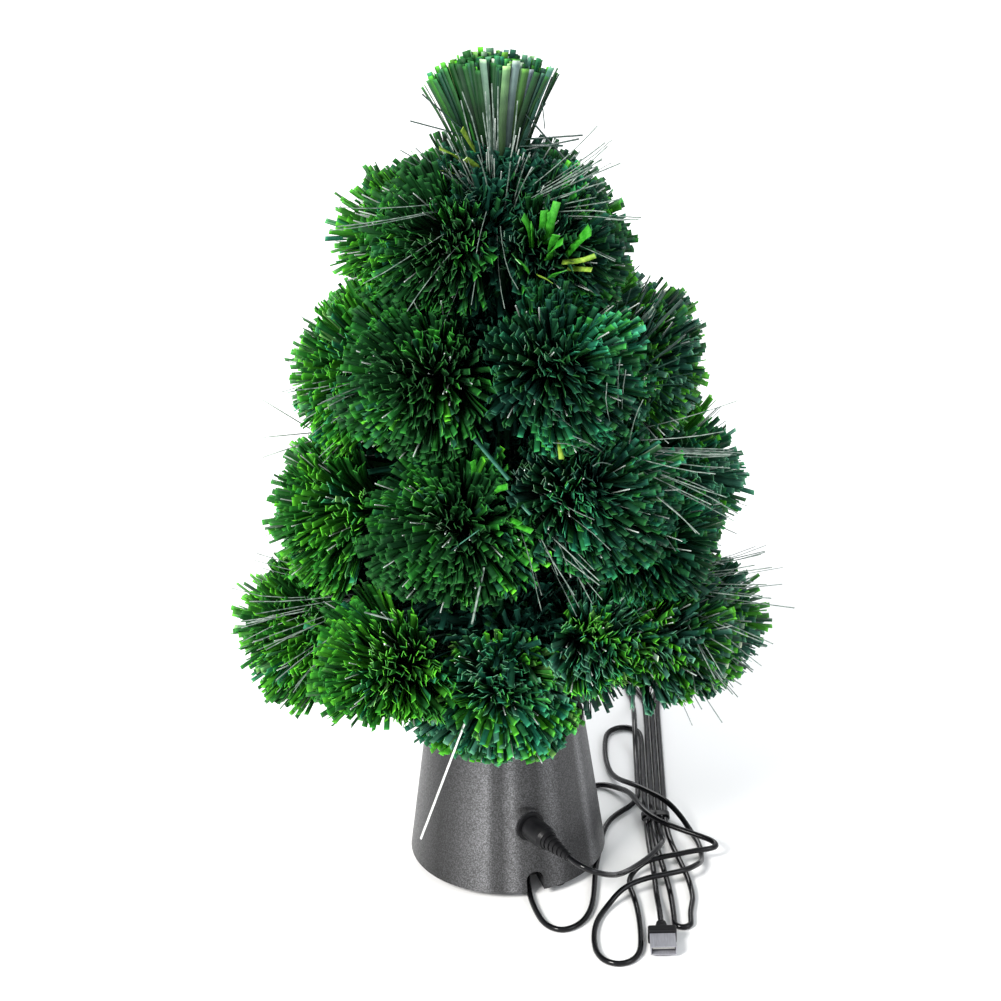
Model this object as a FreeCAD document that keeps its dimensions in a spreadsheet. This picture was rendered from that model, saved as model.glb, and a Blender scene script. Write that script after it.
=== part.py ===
import FreeCAD, Part
import Sketcher
import math
import os

# A small fibre-optic Christmas tree: a tapered metal-look base that holds a lamp, a
# colour wheel and its geared motor, and a tree of cut green strips and clear fibres
# that stands in a socket in the base's top. A lead with a coaxial plug and a USB plug
# lies beside it. Lengths are in millimetres, angles in degrees, +Z is up, +X is the
# viewer's right, and the origin is on the table under the middle of the base.

Vector = FreeCAD.Vector
Rotation = FreeCAD.Rotation
Placement = FreeCAD.Placement
UP = Vector(0, 0, 1)

SIZES = [
    ("base_bottom_radius", 48.0, "outside of the base at its rim"),
    ("base_top_radius", 38.0, "outside of the base at its top"),
    ("base_height", 73.0, "rim to top of the base"),
    ("shell_wall", 1.8, "wall of the base"),
    ("foot_height", 4.0, "rubber foot, table to cover"),
    ("foot_radius", 4.5, "rubber foot"),
    ("foot_taper", 0.6, "rubber foot, narrower on the table"),
    ("foot_inset", 8.0, "feet inwards from the rim's outside"),
    ("foot_stud", 2.0, "stud that holds a foot in the cover, radius"),
    ("cover_thickness", 2.4, "bottom cover"),
    ("flange_width", 8.0, "inner flange that the cover is screwed to"),
    ("flange_thickness", 2.0, "inner flange that the cover is screwed to"),
    ("screw_radius", 1.3, "shank of the cover and chassis screws"),
    ("screw_head_radius", 2.6, "head of the same screws"),
    ("screw_head_height", 1.5, "head of the same screws"),
    ("screw_length", 7.0, "shank of the same screws"),
    ("cover_screw_inset", 6.2, "cover screws inwards from the rim's outside"),
    ("fit", 0.15, "clearance where pieces are put together"),
    ("running", 0.05, "clearance where pieces turn or slide"),
    ("notch_width", 8.5, "arch in the rim for a cord"),
    ("notch_height", 10.0, "arch in the rim for a cord"),
    ("notch_depth", 14.0, "arch, from the rim inwards"),
    ("notch_azimuth", 15.6, "arch, degrees to the right of the front"),
    ("cap_thickness", 2.6, "black cap in the top of the base"),
    ("cap_recess", 1.2, "cap below the top of the base"),
    ("cap_edge", 0.5, "chamfer round the cap"),
    ("ledge_width", 3.0, "ledge that carries the cap"),
    ("ledge_thickness", 1.6, "ledge that carries the cap"),
    ("trunk_radius", 6.5, "trunk where it stands in the base"),
    ("trunk_top_radius", 4.4, "trunk at its top"),
    ("trunk_wall", 1.8, "wound strip round the fibres"),
    ("trunk_top", 350.0, "top end of the trunk above the table"),
    ("trunk_straight", 60.0, "straight length of the trunk at its foot"),
    ("core_recess", 0.5, "fibre bundle short of the trunk's ends"),
    ("core_fit", 0.2, "fibre bundle inside the trunk's wall"),
    ("sleeve_wall", 1.4, "foot sleeve of the trunk"),
    ("sleeve_collar", 2.2, "collar on the sleeve"),
    ("socket_wall", 1.9, "socket tube in the cap"),
    ("socket_depth", 18.0, "socket below the top of the base"),
    ("socket_stand", 7.0, "socket above the top of the base"),
    ("socket_lip", 2.0, "inward lip at the foot of the socket"),
    ("socket_flange", 3.0, "flange of the socket on the cap"),
    ("socket_flange_height", 1.6, "flange of the socket on the cap"),
    ("chassis_bottom", 24.0, "chassis plate above the table"),
    ("chassis_thickness", 2.5, "chassis plate"),
    ("chassis_inset", 16.0, "chassis plate inwards from the rim's outside"),
    ("post_radius", 3.4, "posts of the chassis"),
    ("post_inset", 6.0, "posts inwards from the chassis plate's edge"),
    ("wheel_offset", 15.5, "wheel axis from the tree's axis"),
    ("wheel_azimuth", 225.0, "wheel axis, degrees round from the front"),
    ("wheel_radius", 21.5, "colour wheel"),
    ("wheel_thickness", 1.4, "colour wheel"),
    ("wheel_gap", 3.6, "wheel's upper face below the socket"),
    ("window_inner", 8.5, "colour windows, inner radius"),
    ("window_outer", 19.5, "colour windows, outer radius"),
    ("window_angle", 76.0, "one of four colour windows"),
    ("filter_thickness", 0.7, "colour filters"),
    ("hub_radius", 4.5, "hub of the wheel"),
    ("hub_height", 3.0, "hub below the wheel"),
    ("hub_spigot", 3.0, "hub where it passes through the wheel, radius"),
    ("hub_rivet", 0.6, "hub above the wheel"),
    ("shaft_radius", 1.5, "motor's output shaft"),
    ("motor_radius", 8.0, "geared motor"),
    ("motor_height", 14.0, "geared motor"),
    ("bearing_radius", 3.5, "bearing boss of the motor"),
    ("bearing_height", 2.0, "bearing boss of the motor"),
    ("bearing_depth", 6.0, "bearing of the shaft in the motor"),
    ("lamp_radius", 7.0, "lamp holder and its board"),
    ("lamp_wall", 1.8, "lamp holder"),
    ("lamp_height", 10.5, "lamp holder"),
    ("board_thickness", 1.6, "lamp board"),
    ("lens_radius", 3.4, "lamp lens"),
    ("lens_height", 2.2, "straight part of the lamp lens"),
    ("jack_height", 40.0, "axis of the power socket above the table"),
    ("jack_place", 12.0, "power socket on the wall, degrees to the right of the front"),
    ("jack_azimuth", 32.0, "direction of its axis, degrees to the right of the front"),
    ("jack_boss_wall", 2.2, "boss round the neck of the power socket"),
    ("jack_boss_proud", 1.7, "boss outside the wall, more than the wall's slope asks for"),
    ("jack_boss_in", 8.5, "boss inside the wall"),
    ("jack_radius", 6.0, "threaded neck of the power socket"),
    ("jack_flange_edge", 1.3, "flange of the power socket beyond its neck"),
    ("jack_flange", 1.2, "flange of the power socket"),
    ("jack_length", 19.0, "power socket, face to back"),
    ("jack_bore", 2.82, "hole for the plug, radius"),
    ("jack_bore_depth", 11.0, "hole for the plug"),
    ("jack_pin_radius", 1.0, "middle contact of the power socket"),
    ("jack_pin_sunk", 1.5, "middle contact below the socket's face"),
    ("nut_wall", 2.25, "nut round the neck, to its flats"),
    ("nut_thickness", 2.8, "nut of the power socket"),
    ("barrel_radius", 2.75, "coaxial plug, outside"),
    ("barrel_bore", 1.2, "coaxial plug, inside radius"),
    ("barrel_length", 9.5, "coaxial plug"),
    ("plug_radius", 5.75, "moulded head of the coaxial plug"),
    ("plug_end", 37.04, "end of the strain relief from the wall"),
    ("plug_head", 15.0, "moulded head of the coaxial plug"),
    ("plug_edge", 0.6, "chamfer at the front of that head"),
    ("plug_shoulder", 2.0, "slope at its back, length"),
    ("plug_step", 0.4, "step from the slope to the strain relief"),
    ("relief_ribs", 6, "ribs of the strain relief"),
    ("relief_big", 4.3, "strain relief at the head"),
    ("relief_small", 1.9, "strain relief at the cord"),
    ("rib_depth", 0.7, "ribs of the strain relief"),
    ("wire_diameter", 1.2, "wires inside the base"),
    ("wire_lead", 9.0, "straight ends of those wires"),
    ("wire_spread", 1.8, "wires above and below the socket's axis"),
    ("cord_diameter", 2.8, "lead"),
    ("tie_width", 4.0, "twist tie"),
    ("tie_thickness", 0.5, "twist tie"),
    ("tie_clear", 0.3, "twist tie round the cords"),
    ("twist_radius", 0.7, "twisted ends of the tie"),
    ("twist_length", 11.0, "twisted ends of the tie"),
    ("twist_lift", 0.35, "twisted ends above the band"),
    ("usb_shell_width", 12.0, "USB plug"),
    ("usb_shell_height", 4.5, "USB plug"),
    ("usb_shell_length", 11.0, "USB plug"),
    ("usb_shell_wall", 0.3, "USB plug"),
    ("usb_grip_width", 13.5, "moulded grip of the USB plug"),
    ("usb_grip_height", 7.8, "moulded grip of the USB plug"),
    ("usb_grip_length", 5.0, "moulded grip of the USB plug"),
    ("usb_grip_edge", 0.9, "rounding of that grip"),
    ("usb_relief_length", 7.0, "strain relief of the USB plug"),
    ("usb_relief_big", 3.6, "strain relief at the grip"),
    ("usb_relief_small", 2.3, "strain relief at the cord"),
    ("usb_relief_ribs", 4, "ribs of that strain relief"),
    ("usb_rib_depth", 0.49, "ribs of that strain relief"),
    ("usb_tongue_width", 10.6, "tongue inside the USB plug"),
    ("usb_tongue_thickness", 1.8, "tongue inside the USB plug"),
    ("usb_tongue_length", 9.6, "tongue inside the USB plug"),
    ("usb_tongue_side", 0.1, "tongue's near side from the plug's middle"),
    ("usb_tongue_root", 1.0, "tongue inside the grip"),
    ("stem_radius", 1.25, "stem of a branch"),
    ("stem_step", 3.0, "stems of one ring, up and down by turns"),
    ("tuft_neck", 4.5, "tuft where it leaves its stem, radius"),
    ("top_radius", 27.0, "top tuft, end radius"),
    ("top_length", 60.5, "top tuft"),
    ("top_crown", 8.0, "crown of the top tuft"),
    ("tier1_height", 304.0, "first ring of branches on the trunk"),
    ("tier1_radius", 21.0, "tufts of that ring, end radius"),
    ("tier1_length", 52.0, "tufts of that ring"),
    ("tier2_height", 246.0, "second ring of branches on the trunk"),
    ("tier2_radius", 24.0, "tufts of that ring, end radius"),
    ("tier2_length", 56.0, "tufts of that ring"),
    ("tier3_height", 184.0, "third ring of branches on the trunk"),
    ("tier3_radius", 26.0, "tufts of that ring, end radius"),
    ("tier3_length", 58.0, "tufts of that ring"),
    ("tier4_height", 118.0, "fourth ring of branches on the trunk"),
    ("tier4_radius", 27.0, "tufts of that ring, end radius"),
    ("tier4_length", 58.0, "tufts of that ring"),
    ("tuft_crown", 8.0, "crown of a tuft"),
]

# Each branch as it was bent by hand: its name, then its tip's azimuth in degrees to the
# right of the front, the tip's distance from the trunk's axis and its height.
BRANCHES = {
    1: [
        ("left", -80, 66, 345), ("front_left", -28, 58, 330), ("front_right", 34, 60, 330),
        ("right", 86, 63, 336), ("back_right", 140, 58, 338), ("back_left", -138, 56, 341),
    ],
    2: [
        ("left", -76, 95, 277), ("front_left", -28, 86, 283), ("front_right", 20, 84, 296),
        ("right", 72, 98, 282), ("back_right", 134, 94, 262), ("back_left", -142, 90, 274),
    ],
    3: [
        ("left", -70, 107, 210), ("front_left", -14, 98, 224), ("front_right", 26, 94, 240),
        ("low_right", 58, 108, 192), ("right", 94, 110, 212), ("back_right", 150, 104, 204),
        ("back_left", -144, 104, 206),
    ],
    4: [
        ("left", -80, 125, 142), ("front_left", -40, 116, 133), ("front", -6, 94, 126),
        ("front_right", 27, 105, 130), ("right_front", 57, 119, 138), ("right", 87, 124, 137),
        ("back_right", 126, 122, 132), ("back", 168, 102, 132), ("back_left", -138, 120, 132),
    ],
}

# The lead's own route, from near the coaxial plug to the hank.
PLUG_LEAD = [
    (41.4, -82.4, 37.0), (48.6, -74.0, 30.0),
    (53.0, -62.0, 22.8), (57.6, -51.0, 17.6), (63.4, -42.0, 15.4), (69.4, -33.4, 14.4),
    (73.8, -23.4, 13.2), (76.3, -12.0, 9.4), (76.5, -2.0, 5.2), (75.93, 8.0, 2.2),
    (76.1, 16.0, 2.2),
]
# From the hank under the base, out at the arch, back under it, over and under itself,
# and down to the USB plug.
TAIL = [
    (67.1, 52.2, 1.4), (66.9, 43.0, 1.4), (63.4, 34.0, 1.4), (56.6, 27.6, 1.4),
    (50.6, 19.5, 1.4), (47.0, 7.0, 1.4), (45.0, -7.5, 1.4), (42.8, -22.0, 1.4),
    (41.6, -36.5, 1.4), (40.6, -50.0, 1.4), (38.2, -62.4, 1.4), (33.0, -72.4, 1.4),
    (24.6, -77.2, 1.4), (16.6, -71.8, 1.4), (12.6, -60.0, 1.4), (9.8, -46.0, 1.4),
    (8.8, -30.0, 1.4), (9.8, -12.0, 1.4), (13.5, 5.0, 1.4), (20.0, 22.0, 1.4),
    (29.0, 38.5, 1.4), (38.5, 51.0, 1.4), (48.8, 55.6, 1.4), (56.8, 48.2, 3.2),
    (62.0, 38.0, 7.0), (65.2, 26.8, 8.6), (69.2, 14.6, 9.4), (76.0, 5.2, 9.4),
    (85.0, -0.8, 8.6), (94.2, -5.6, 7.6), (101.0, -10.2, 7.3), (102.8, -15.0, 7.3),
    (99.2, -18.6, 8.0), (92.0, -20.4, 8.4), (83.0, -22.4, 7.8), (74.0, -24.4, 7.4),
    (66.4, -26.4, 6.4), (60.0, -30.2, 2.4), (58.0, -38.0, 1.4), (60.2, -49.5, 1.4),
    (61.4, -62.0, 1.4), (61.8, -74.0, 1.4), (61.6, -85.6, 1.4), (60.8, -95.4, 1.4),
    (57.2, -102.6, 1.4), (50.6, -105.6, 1.4), (43.8, -102.6, 1.4), (40.2, -95.4, 1.4),
    (39.4, -86.0, 1.4), (40.0, -76.4, 1.4), (42.2, -67.0, 1.4), (46.6, -58.0, 1.8),
    (54.4, -49.4, 6.6), (65.0, -43.8, 8.0), (76.0, -40.4, 8.0), (86.0, -36.8, 7.8),
    (92.4, -29.0, 6.0), (95.2, -18.6, 1.4), (95.2, -5.0, 1.4), (91.8, 7.0, 1.4),
    (86.8, 17.6, 5.0), (80.2, 27.2, 8.2), (72.0, 36.0, 8.2), (64.0, 44.6, 7.6),
    (57.2, 56.0, 3.6), (53.4, 67.0, 1.4), (51.8, 81.0, 1.4), (52.0, 95.0, 1.4),
    (53.4, 106.6, 1.4), (58.8, 112.3, 1.4), (66.1, 112.3, 1.4), (71.4, 106.6, 1.4),
    (71.2, 92.0, 1.4), (70.6, 66.0, 1.4), (70.0, 40.0, 1.9), (69.6, 22.0, 2.2),
    (69.6, 4.0, 1.9), (70.2, -14.0, 1.5), (71.0, -30.0, 1.4), (71.0, -46.0, 1.4),
    (71.5, -59.0, 2.2), (71.6, -68.0, 4.0), (71.6, -76.0, 4.0),
]

doc = FreeCAD.newDocument("fibre_tree")
sheet = doc.addObject("Spreadsheet::Sheet", "Sizes")
for row, (name, value, meaning) in enumerate(SIZES, start=1):
    sheet.set("A%d" % row, meaning)
    sheet.set("B%d" % row, str(value))
    sheet.setAlias("B%d" % row, name)
doc.recompute()
pieces = []


def mm(name):
    """The value of one named size."""
    return float(sheet.get(name))


def sized(text):
    """An expression on the sheet's sizes, from a short one with bare names."""
    for name, _, _ in sorted(SIZES, key=lambda entry: -len(entry[0])):
        text = text.replace("$" + name, "Sizes." + name)
    return text


def worth(text):
    """The number that such an expression gives now."""
    value = sheet.evalExpression(sized(text))
    return float(getattr(value, "Value", value))


def round_direction(azimuth, rise=0.0):
    """A unit vector: azimuth to the right of the front, rise above level, in degrees."""
    flat = math.cos(math.radians(rise))
    turn = math.radians(azimuth)
    return Vector(flat * math.sin(turn), -flat * math.cos(turn), math.sin(math.radians(rise)))


def keep(item, label):
    """Name a finished piece and list it for the hand-over."""
    item.Label = label
    pieces.append(item)
    return item


def lathe(name, outline, place=None):
    """A body turned about its own Z axis from (radius, height) corners."""
    body = doc.addObject("PartDesign::Body", name)
    plane = next(f for f in body.Origin.OriginFeatures if f.Role == "XZ_Plane")
    sketch = body.newObject("Sketcher::SketchObject", name + "_outline")
    sketch.AttachmentSupport = [(plane, "")]
    sketch.MapMode = "FlatFace"
    corners = [Vector(worth(r), worth(z), 0) for r, z in outline]
    count = len(corners)
    for k in range(count):
        sketch.addGeometry(Part.LineSegment(corners[k], corners[(k + 1) % count]), False)
    for k in range(count):
        sketch.addConstraint(Sketcher.Constraint("Coincident", k, 2, (k + 1) % count, 1))
    for k, (r, z) in enumerate(outline):
        across = ("DistanceX", r, corners[k].x, -2)
        upwards = ("DistanceY", z, corners[k].y, -1)
        for kind, text, at, axis in (across, upwards):
            if text == "0":
                sketch.addConstraint(Sketcher.Constraint("PointOnObject", k, 1, axis))
            else:
                number = sketch.addConstraint(Sketcher.Constraint(kind, -1, 1, k, 1, at))
                sketch.setExpression("Constraints[%d]" % number, sized(text))
    turned = body.newObject("PartDesign::Revolution", name + "_turned")
    turned.Profile = (sketch, [""])
    turned.ReferenceAxis = (sketch, ["V_Axis"])
    turned.Angle = 360.0
    body.Tip = turned
    if place is not None:
        body.Placement = place
    return body


def primitive(kind, name, place=None, **sizes):
    """A Part primitive whose sizes are expressions on the sheet."""
    item = doc.addObject("Part::" + kind, name)
    for key, text in sizes.items():
        if key in ("x", "y", "z"):
            item.setExpression("Placement.Base." + key, sized(text))
        else:
            item.setExpression(key, sized(text))
    if place is not None:
        item.Placement = place
    return item


def cut(name, base, *tools):
    """One shape less one or more others."""
    result = doc.addObject("Part::Cut", name)
    result.Base = base
    result.Tool = tools[0] if len(tools) == 1 else fuse(name + "_tools", *tools)
    return result


def fuse(name, *items):
    """Several shapes joined into one."""
    result = doc.addObject("Part::MultiFuse", name)
    result.Shapes = list(items)
    return result


def group(name, items):
    """Several like solids that share one node and stay separate."""
    result = doc.addObject("Part::Compound", name)
    result.Links = list(items)
    return result


# Heights that several pieces share.
RIM = "$foot_height"
TOP = "($foot_height + $base_height)"
COVER_TOP = "($foot_height + $cover_thickness)"
FLANGE_TOP = "(%s + $flange_thickness)" % COVER_TOP
CAP_TOP = "(%s - $cap_recess)" % TOP
CAP_BOTTOM = "(%s - $cap_thickness)" % CAP_TOP
LEDGE_BOTTOM = "(%s - $ledge_thickness)" % CAP_BOTTOM
SOCKET_BOTTOM = "(%s - $socket_depth)" % TOP
SOCKET_TOP = "(%s + $socket_stand)" % TOP
SLEEVE_BOTTOM = "(%s + $socket_lip + $running)" % SOCKET_BOTTOM
TRUNK_BOTTOM = "(%s + $sleeve_wall + $running)" % SLEEVE_BOTTOM
TRUNK_BEND = "(%s + $trunk_straight)" % TRUNK_BOTTOM
WHEEL_TOP = "(%s - $wheel_gap)" % SOCKET_BOTTOM
WHEEL_BOTTOM = "(%s - $wheel_thickness)" % WHEEL_TOP
CHASSIS_TOP = "($chassis_bottom + $chassis_thickness)"
MOTOR_TOP = "(%s + $motor_height)" % CHASSIS_TOP
BEARING_TOP = "(%s + $bearing_height)" % MOTOR_TOP
BOARD_BOTTOM = "(%s + $lamp_height)" % CHASSIS_TOP
BOARD_TOP = "(%s + $board_thickness)" % BOARD_BOTTOM

CHASSIS_RADIUS = "($base_bottom_radius - $chassis_inset)"

# Radii of the nested tubes at the foot of the trunk.
TRUNK_BORE = "($trunk_radius - $trunk_wall)"
TRUNK_TOP_BORE = "($trunk_top_radius - $trunk_wall)"
SLEEVE_INNER = "($trunk_radius + $running)"
SLEEVE_OUTER = "(%s + $sleeve_wall)" % SLEEVE_INNER
SOCKET_INNER = "(%s + $running)" % SLEEVE_OUTER
SOCKET_OUTER = "(%s + $socket_wall)" % SOCKET_INNER

# Places along the power socket's axis, out from the wall. The wall slopes, so the boss
# stands out far enough for the flange's lowest point to clear it.
WALL_SLOPE = "(($base_bottom_radius - $base_top_radius) / $base_height)"
JACK_EDGE = "($jack_radius + $jack_flange_edge)"
BOSS_OUT = "($jack_boss_proud + %s * %s)" % (JACK_EDGE, WALL_SLOPE)
JACK_FACE = "(%s + $jack_flange)" % BOSS_OUT
JACK_BACK = "(%s - $jack_length)" % JACK_FACE
HEAD_FACE = "(%s + $fit)" % JACK_FACE
RELIEF_START = "(%s + $plug_head)" % HEAD_FACE

# Tools reach this far past what they cut, so that no skin is left.
OVERSHOOT = 4.0
# A rib takes this share of its pitch, and the grooves get this much shallower to the end.
RIB_SHARE = 0.6
RIB_FADE = 0.5
FOOT_COUNT = 4
FIRST_FOOT = 36.0
COVER_SCREW_COUNT = 4
FIRST_COVER_SCREW = 80.0
POST_COUNT = 3
FIRST_POST = 30.0
WINDOW_COUNT = 4


def wall_outside(height):
    """The base's outer radius at a height, as an expression."""
    taper = "($base_bottom_radius - $base_top_radius)"
    return "($base_bottom_radius - %s * (%s - $foot_height) / $base_height)" % (taper, height)


def wall_inside(height):
    """The base's inner radius at a height, as an expression."""
    return "(%s - $shell_wall)" % wall_outside(height)


def on_jack_axis(distance=0.0):
    """A frame on the power socket's axis, its Z pointing out of the wall."""
    on_wall = round_direction(mm("jack_place")) * worth(wall_outside("$jack_height"))
    on_wall.z = mm("jack_height")
    outward = round_direction(mm("jack_azimuth"))
    return Placement(on_wall + outward * distance, Rotation(UP, outward))


def on_wheel_axis():
    """The point on the floor plan where the colour wheel turns."""
    return Placement(round_direction(mm("wheel_azimuth")) * mm("wheel_offset"), Rotation())


def upright(name, centre, radius, bottom, height):
    """An upright cylinder on a plan point, its radius, bottom and height bound."""
    item = primitive("Cylinder", name, Placement(centre, Rotation()), Radius=radius, Height=height)
    item.setExpression("Placement.Base.z", sized(bottom))
    return item


def circle_of(count, first, radius):
    """Plan points evenly round the axis."""
    return [round_direction(first + 360.0 * k / count) * worth(radius) for k in range(count)]


FEET = circle_of(FOOT_COUNT, FIRST_FOOT, "$base_bottom_radius - $foot_inset")
COVER_SCREWS = circle_of(COVER_SCREW_COUNT, FIRST_COVER_SCREW, "$base_bottom_radius - $cover_screw_inset")
POSTS = circle_of(POST_COUNT, FIRST_POST, "%s - $post_inset" % CHASSIS_RADIUS)


def arch(name):
    """The tool that cuts the arch for a cord: a round-topped slot through the rim."""
    turn = Rotation(UP, mm("notch_azimuth"))
    outward = round_direction(mm("notch_azimuth"))
    spring = mm("foot_height") + mm("notch_height") - mm("notch_width") / 2
    start = outward * (mm("base_bottom_radius") + OVERSHOOT)
    length = "$notch_depth + %g" % OVERSHOOT
    inwards = turn.multiply(Rotation(Vector(1, 0, 0), -90))
    drum = primitive("Cylinder", name + "_round", Placement(start + UP * spring, inwards),
                     Radius="$notch_width / 2", Height=length)
    side = turn.multVec(Vector(-mm("notch_width") / 2, 0, 0))
    low = mm("foot_height") - OVERSHOOT
    slot = primitive("Box", name + "_slot", Placement(start + side + UP * low, turn),
                     Length="$notch_width", Width=length,
                     Height="$notch_height - $notch_width / 2 + %g" % OVERSHOOT)
    return fuse(name, drum, slot)


def base_shell():
    flange = "(%s - $flange_width)" % wall_inside(COVER_TOP)
    ledge = "(%s - $ledge_width)" % wall_inside(CAP_BOTTOM)
    wall = lathe("shell_wall", [
        ("$base_bottom_radius", RIM),
        ("$base_top_radius", TOP),
        ("($base_top_radius - $shell_wall)", TOP),
        (wall_inside(CAP_BOTTOM), CAP_BOTTOM),
        (ledge, CAP_BOTTOM),
        (ledge, LEDGE_BOTTOM),
        (wall_inside(LEDGE_BOTTOM), LEDGE_BOTTOM),
        (wall_inside(FLANGE_TOP), FLANGE_TOP),
        (flange, FLANGE_TOP),
        (flange, COVER_TOP),
        (wall_inside(COVER_TOP), COVER_TOP),
        (wall_inside(RIM), RIM),
    ])
    boss = primitive("Cylinder", "jack_boss", on_jack_axis(-mm("jack_boss_in")),
                     Radius="$jack_radius + $jack_boss_wall", Height="$jack_boss_in + %s" % BOSS_OUT)
    hole = primitive("Cylinder", "jack_hole", on_jack_axis(-mm("jack_boss_in") - OVERSHOOT),
                     Radius="$jack_radius + $fit",
                     Height="$jack_boss_in + %s + %g" % (BOSS_OUT, 2 * OVERSHOOT))
    pilots = [
        upright("flange_pilot_%d" % k, at, "$screw_radius + $running", COVER_TOP, "$flange_thickness")
        for k, at in enumerate(COVER_SCREWS, start=1)
    ]
    solid = fuse("shell_with_boss", wall, boss)
    keep(cut("shell_cut", solid, hole, arch("shell_arch"), *pilots), "base_shell")


def bottom_cover():
    disc = primitive("Cylinder", "cover_disc", Radius="%s - $fit" % wall_inside(COVER_TOP),
                     Height="$cover_thickness", z=RIM)
    tools = [arch("cover_arch")]
    for k, at in enumerate(COVER_SCREWS + POSTS, start=1):
        tools.append(upright("cover_hole_%d" % k, at, "$screw_radius + $fit", RIM, "$cover_thickness"))
        tools.append(upright("cover_sink_%d" % k, at, "$screw_head_radius + $fit", RIM,
                             "$screw_head_height"))
    for k, at in enumerate(FEET, start=1):
        tools.append(upright("stud_hole_%d" % k, at, "$foot_stud + $fit", RIM, "$cover_thickness"))
    keep(cut("cover_cut", disc, *tools), "bottom_cover")


def rubber_feet():
    feet = []
    for k, at in enumerate(FEET, start=1):
        pad = primitive("Cone", "foot_pad_%d" % k, Placement(at, Rotation()),
                        Radius1="$foot_radius - $foot_taper", Radius2="$foot_radius", Height="$foot_height")
        stud = upright("foot_stud_%d" % k, at, "$foot_stud", RIM, "$cover_thickness")
        feet.append(fuse("foot_%d" % k, pad, stud))
    keep(group("feet", feet), "rubber_feet")


def cover_screws():
    screws = []
    for k, at in enumerate(COVER_SCREWS + POSTS, start=1):
        head = upright("screw_head_%d" % k, at, "$screw_head_radius", RIM, "$screw_head_height")
        shank = upright("screw_shank_%d" % k, at, "$screw_radius",
                        "$foot_height + $screw_head_height", "$screw_length")
        screws.append(fuse("screw_%d" % k, head, shank))
    keep(group("screws", screws), "cover_screws")


def top_cap():
    rim = "($base_top_radius - $shell_wall - $fit)"
    cap = lathe("cap_disc", [
        ("(%s + $fit)" % SOCKET_OUTER, CAP_BOTTOM),
        (rim, CAP_BOTTOM),
        (rim, "(%s - $cap_edge)" % CAP_TOP),
        ("(%s - $cap_edge)" % rim, CAP_TOP),
        ("(%s + $fit)" % SOCKET_OUTER, CAP_TOP),
    ])
    keep(cap, "top_cap")


def trunk_socket():
    flange = "(%s + $socket_flange)" % SOCKET_OUTER
    flange_top = "(%s + $socket_flange_height)" % CAP_TOP
    socket = lathe("socket_tube", [
        (TRUNK_BORE, SOCKET_BOTTOM),
        (SOCKET_OUTER, SOCKET_BOTTOM),
        (SOCKET_OUTER, CAP_TOP),
        (flange, CAP_TOP),
        (flange, flange_top),
        (SOCKET_OUTER, flange_top),
        (SOCKET_OUTER, SOCKET_TOP),
        (SOCKET_INNER, SOCKET_TOP),
        (SOCKET_INNER, "(%s + $socket_lip)" % SOCKET_BOTTOM),
        (TRUNK_BORE, "(%s + $socket_lip)" % SOCKET_BOTTOM),
    ])
    keep(socket, "trunk_socket")


def chassis():
    plate = primitive("Cylinder", "chassis_plate", Radius=CHASSIS_RADIUS,
                      Height="$chassis_thickness", z="$chassis_bottom")
    posts = []
    bores = []
    for k, at in enumerate(POSTS, start=1):
        posts.append(upright("post_%d" % k, at, "$post_radius", COVER_TOP,
                             "$chassis_bottom - %s" % COVER_TOP))
        bores.append(upright("post_bore_%d" % k, at, "$screw_radius + $running", COVER_TOP,
                             "$screw_length"))
    keep(cut("chassis_cut", fuse("chassis_solid", plate, *posts), *bores), "chassis")


def motor_and_wheel():
    axis = on_wheel_axis()
    bore = "($shaft_radius + $running)"
    motor = lathe("motor_case", [
        ("0", CHASSIS_TOP),
        ("$motor_radius", CHASSIS_TOP),
        ("$motor_radius", MOTOR_TOP),
        ("$bearing_radius", MOTOR_TOP),
        ("$bearing_radius", BEARING_TOP),
        (bore, BEARING_TOP),
        (bore, "(%s - $bearing_depth)" % BEARING_TOP),
        ("0", "(%s - $bearing_depth)" % BEARING_TOP),
    ], axis)
    keep(motor, "motor_body")
    shaft_bottom = "(%s - $bearing_depth + $running)" % BEARING_TOP
    shaft = primitive("Cylinder", "shaft", axis, Radius="$shaft_radius",
                      Height="%s - %s" % (WHEEL_TOP, shaft_bottom), z=shaft_bottom)
    keep(shaft, "motor_shaft")
    hub = lathe("hub", [
        (bore, "(%s - $hub_height)" % WHEEL_BOTTOM),
        ("$hub_radius", "(%s - $hub_height)" % WHEEL_BOTTOM),
        ("$hub_radius", WHEEL_BOTTOM),
        ("$hub_spigot", WHEEL_BOTTOM),
        ("$hub_spigot", "(%s + $hub_rivet)" % WHEEL_TOP),
        (bore, "(%s + $hub_rivet)" % WHEEL_TOP),
    ], axis)
    keep(hub, "wheel_hub")
    disc = primitive("Cylinder", "wheel_disc", axis, Radius="$wheel_radius",
                     Height="$wheel_thickness", z=WHEEL_BOTTOM)
    eye = primitive("Cylinder", "wheel_eye", axis, Radius="$hub_spigot + $running",
                    Height="$wheel_thickness", z=WHEEL_BOTTOM)
    windows = []
    filters = []
    for k in range(WINDOW_COUNT):
        windows.append(sector("window_%d" % (k + 1), k, axis, "0", WHEEL_BOTTOM, "$wheel_thickness"))
        middle = "(%s + ($wheel_thickness - $filter_thickness) / 2)" % WHEEL_BOTTOM
        filters.append(sector("filter_%d" % (k + 1), k, axis, "$running", middle, "$filter_thickness"))
    keep(cut("wheel_cut", disc, eye, *windows), "colour_wheel")
    keep(group("filters", filters), "colour_filters")


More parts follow.
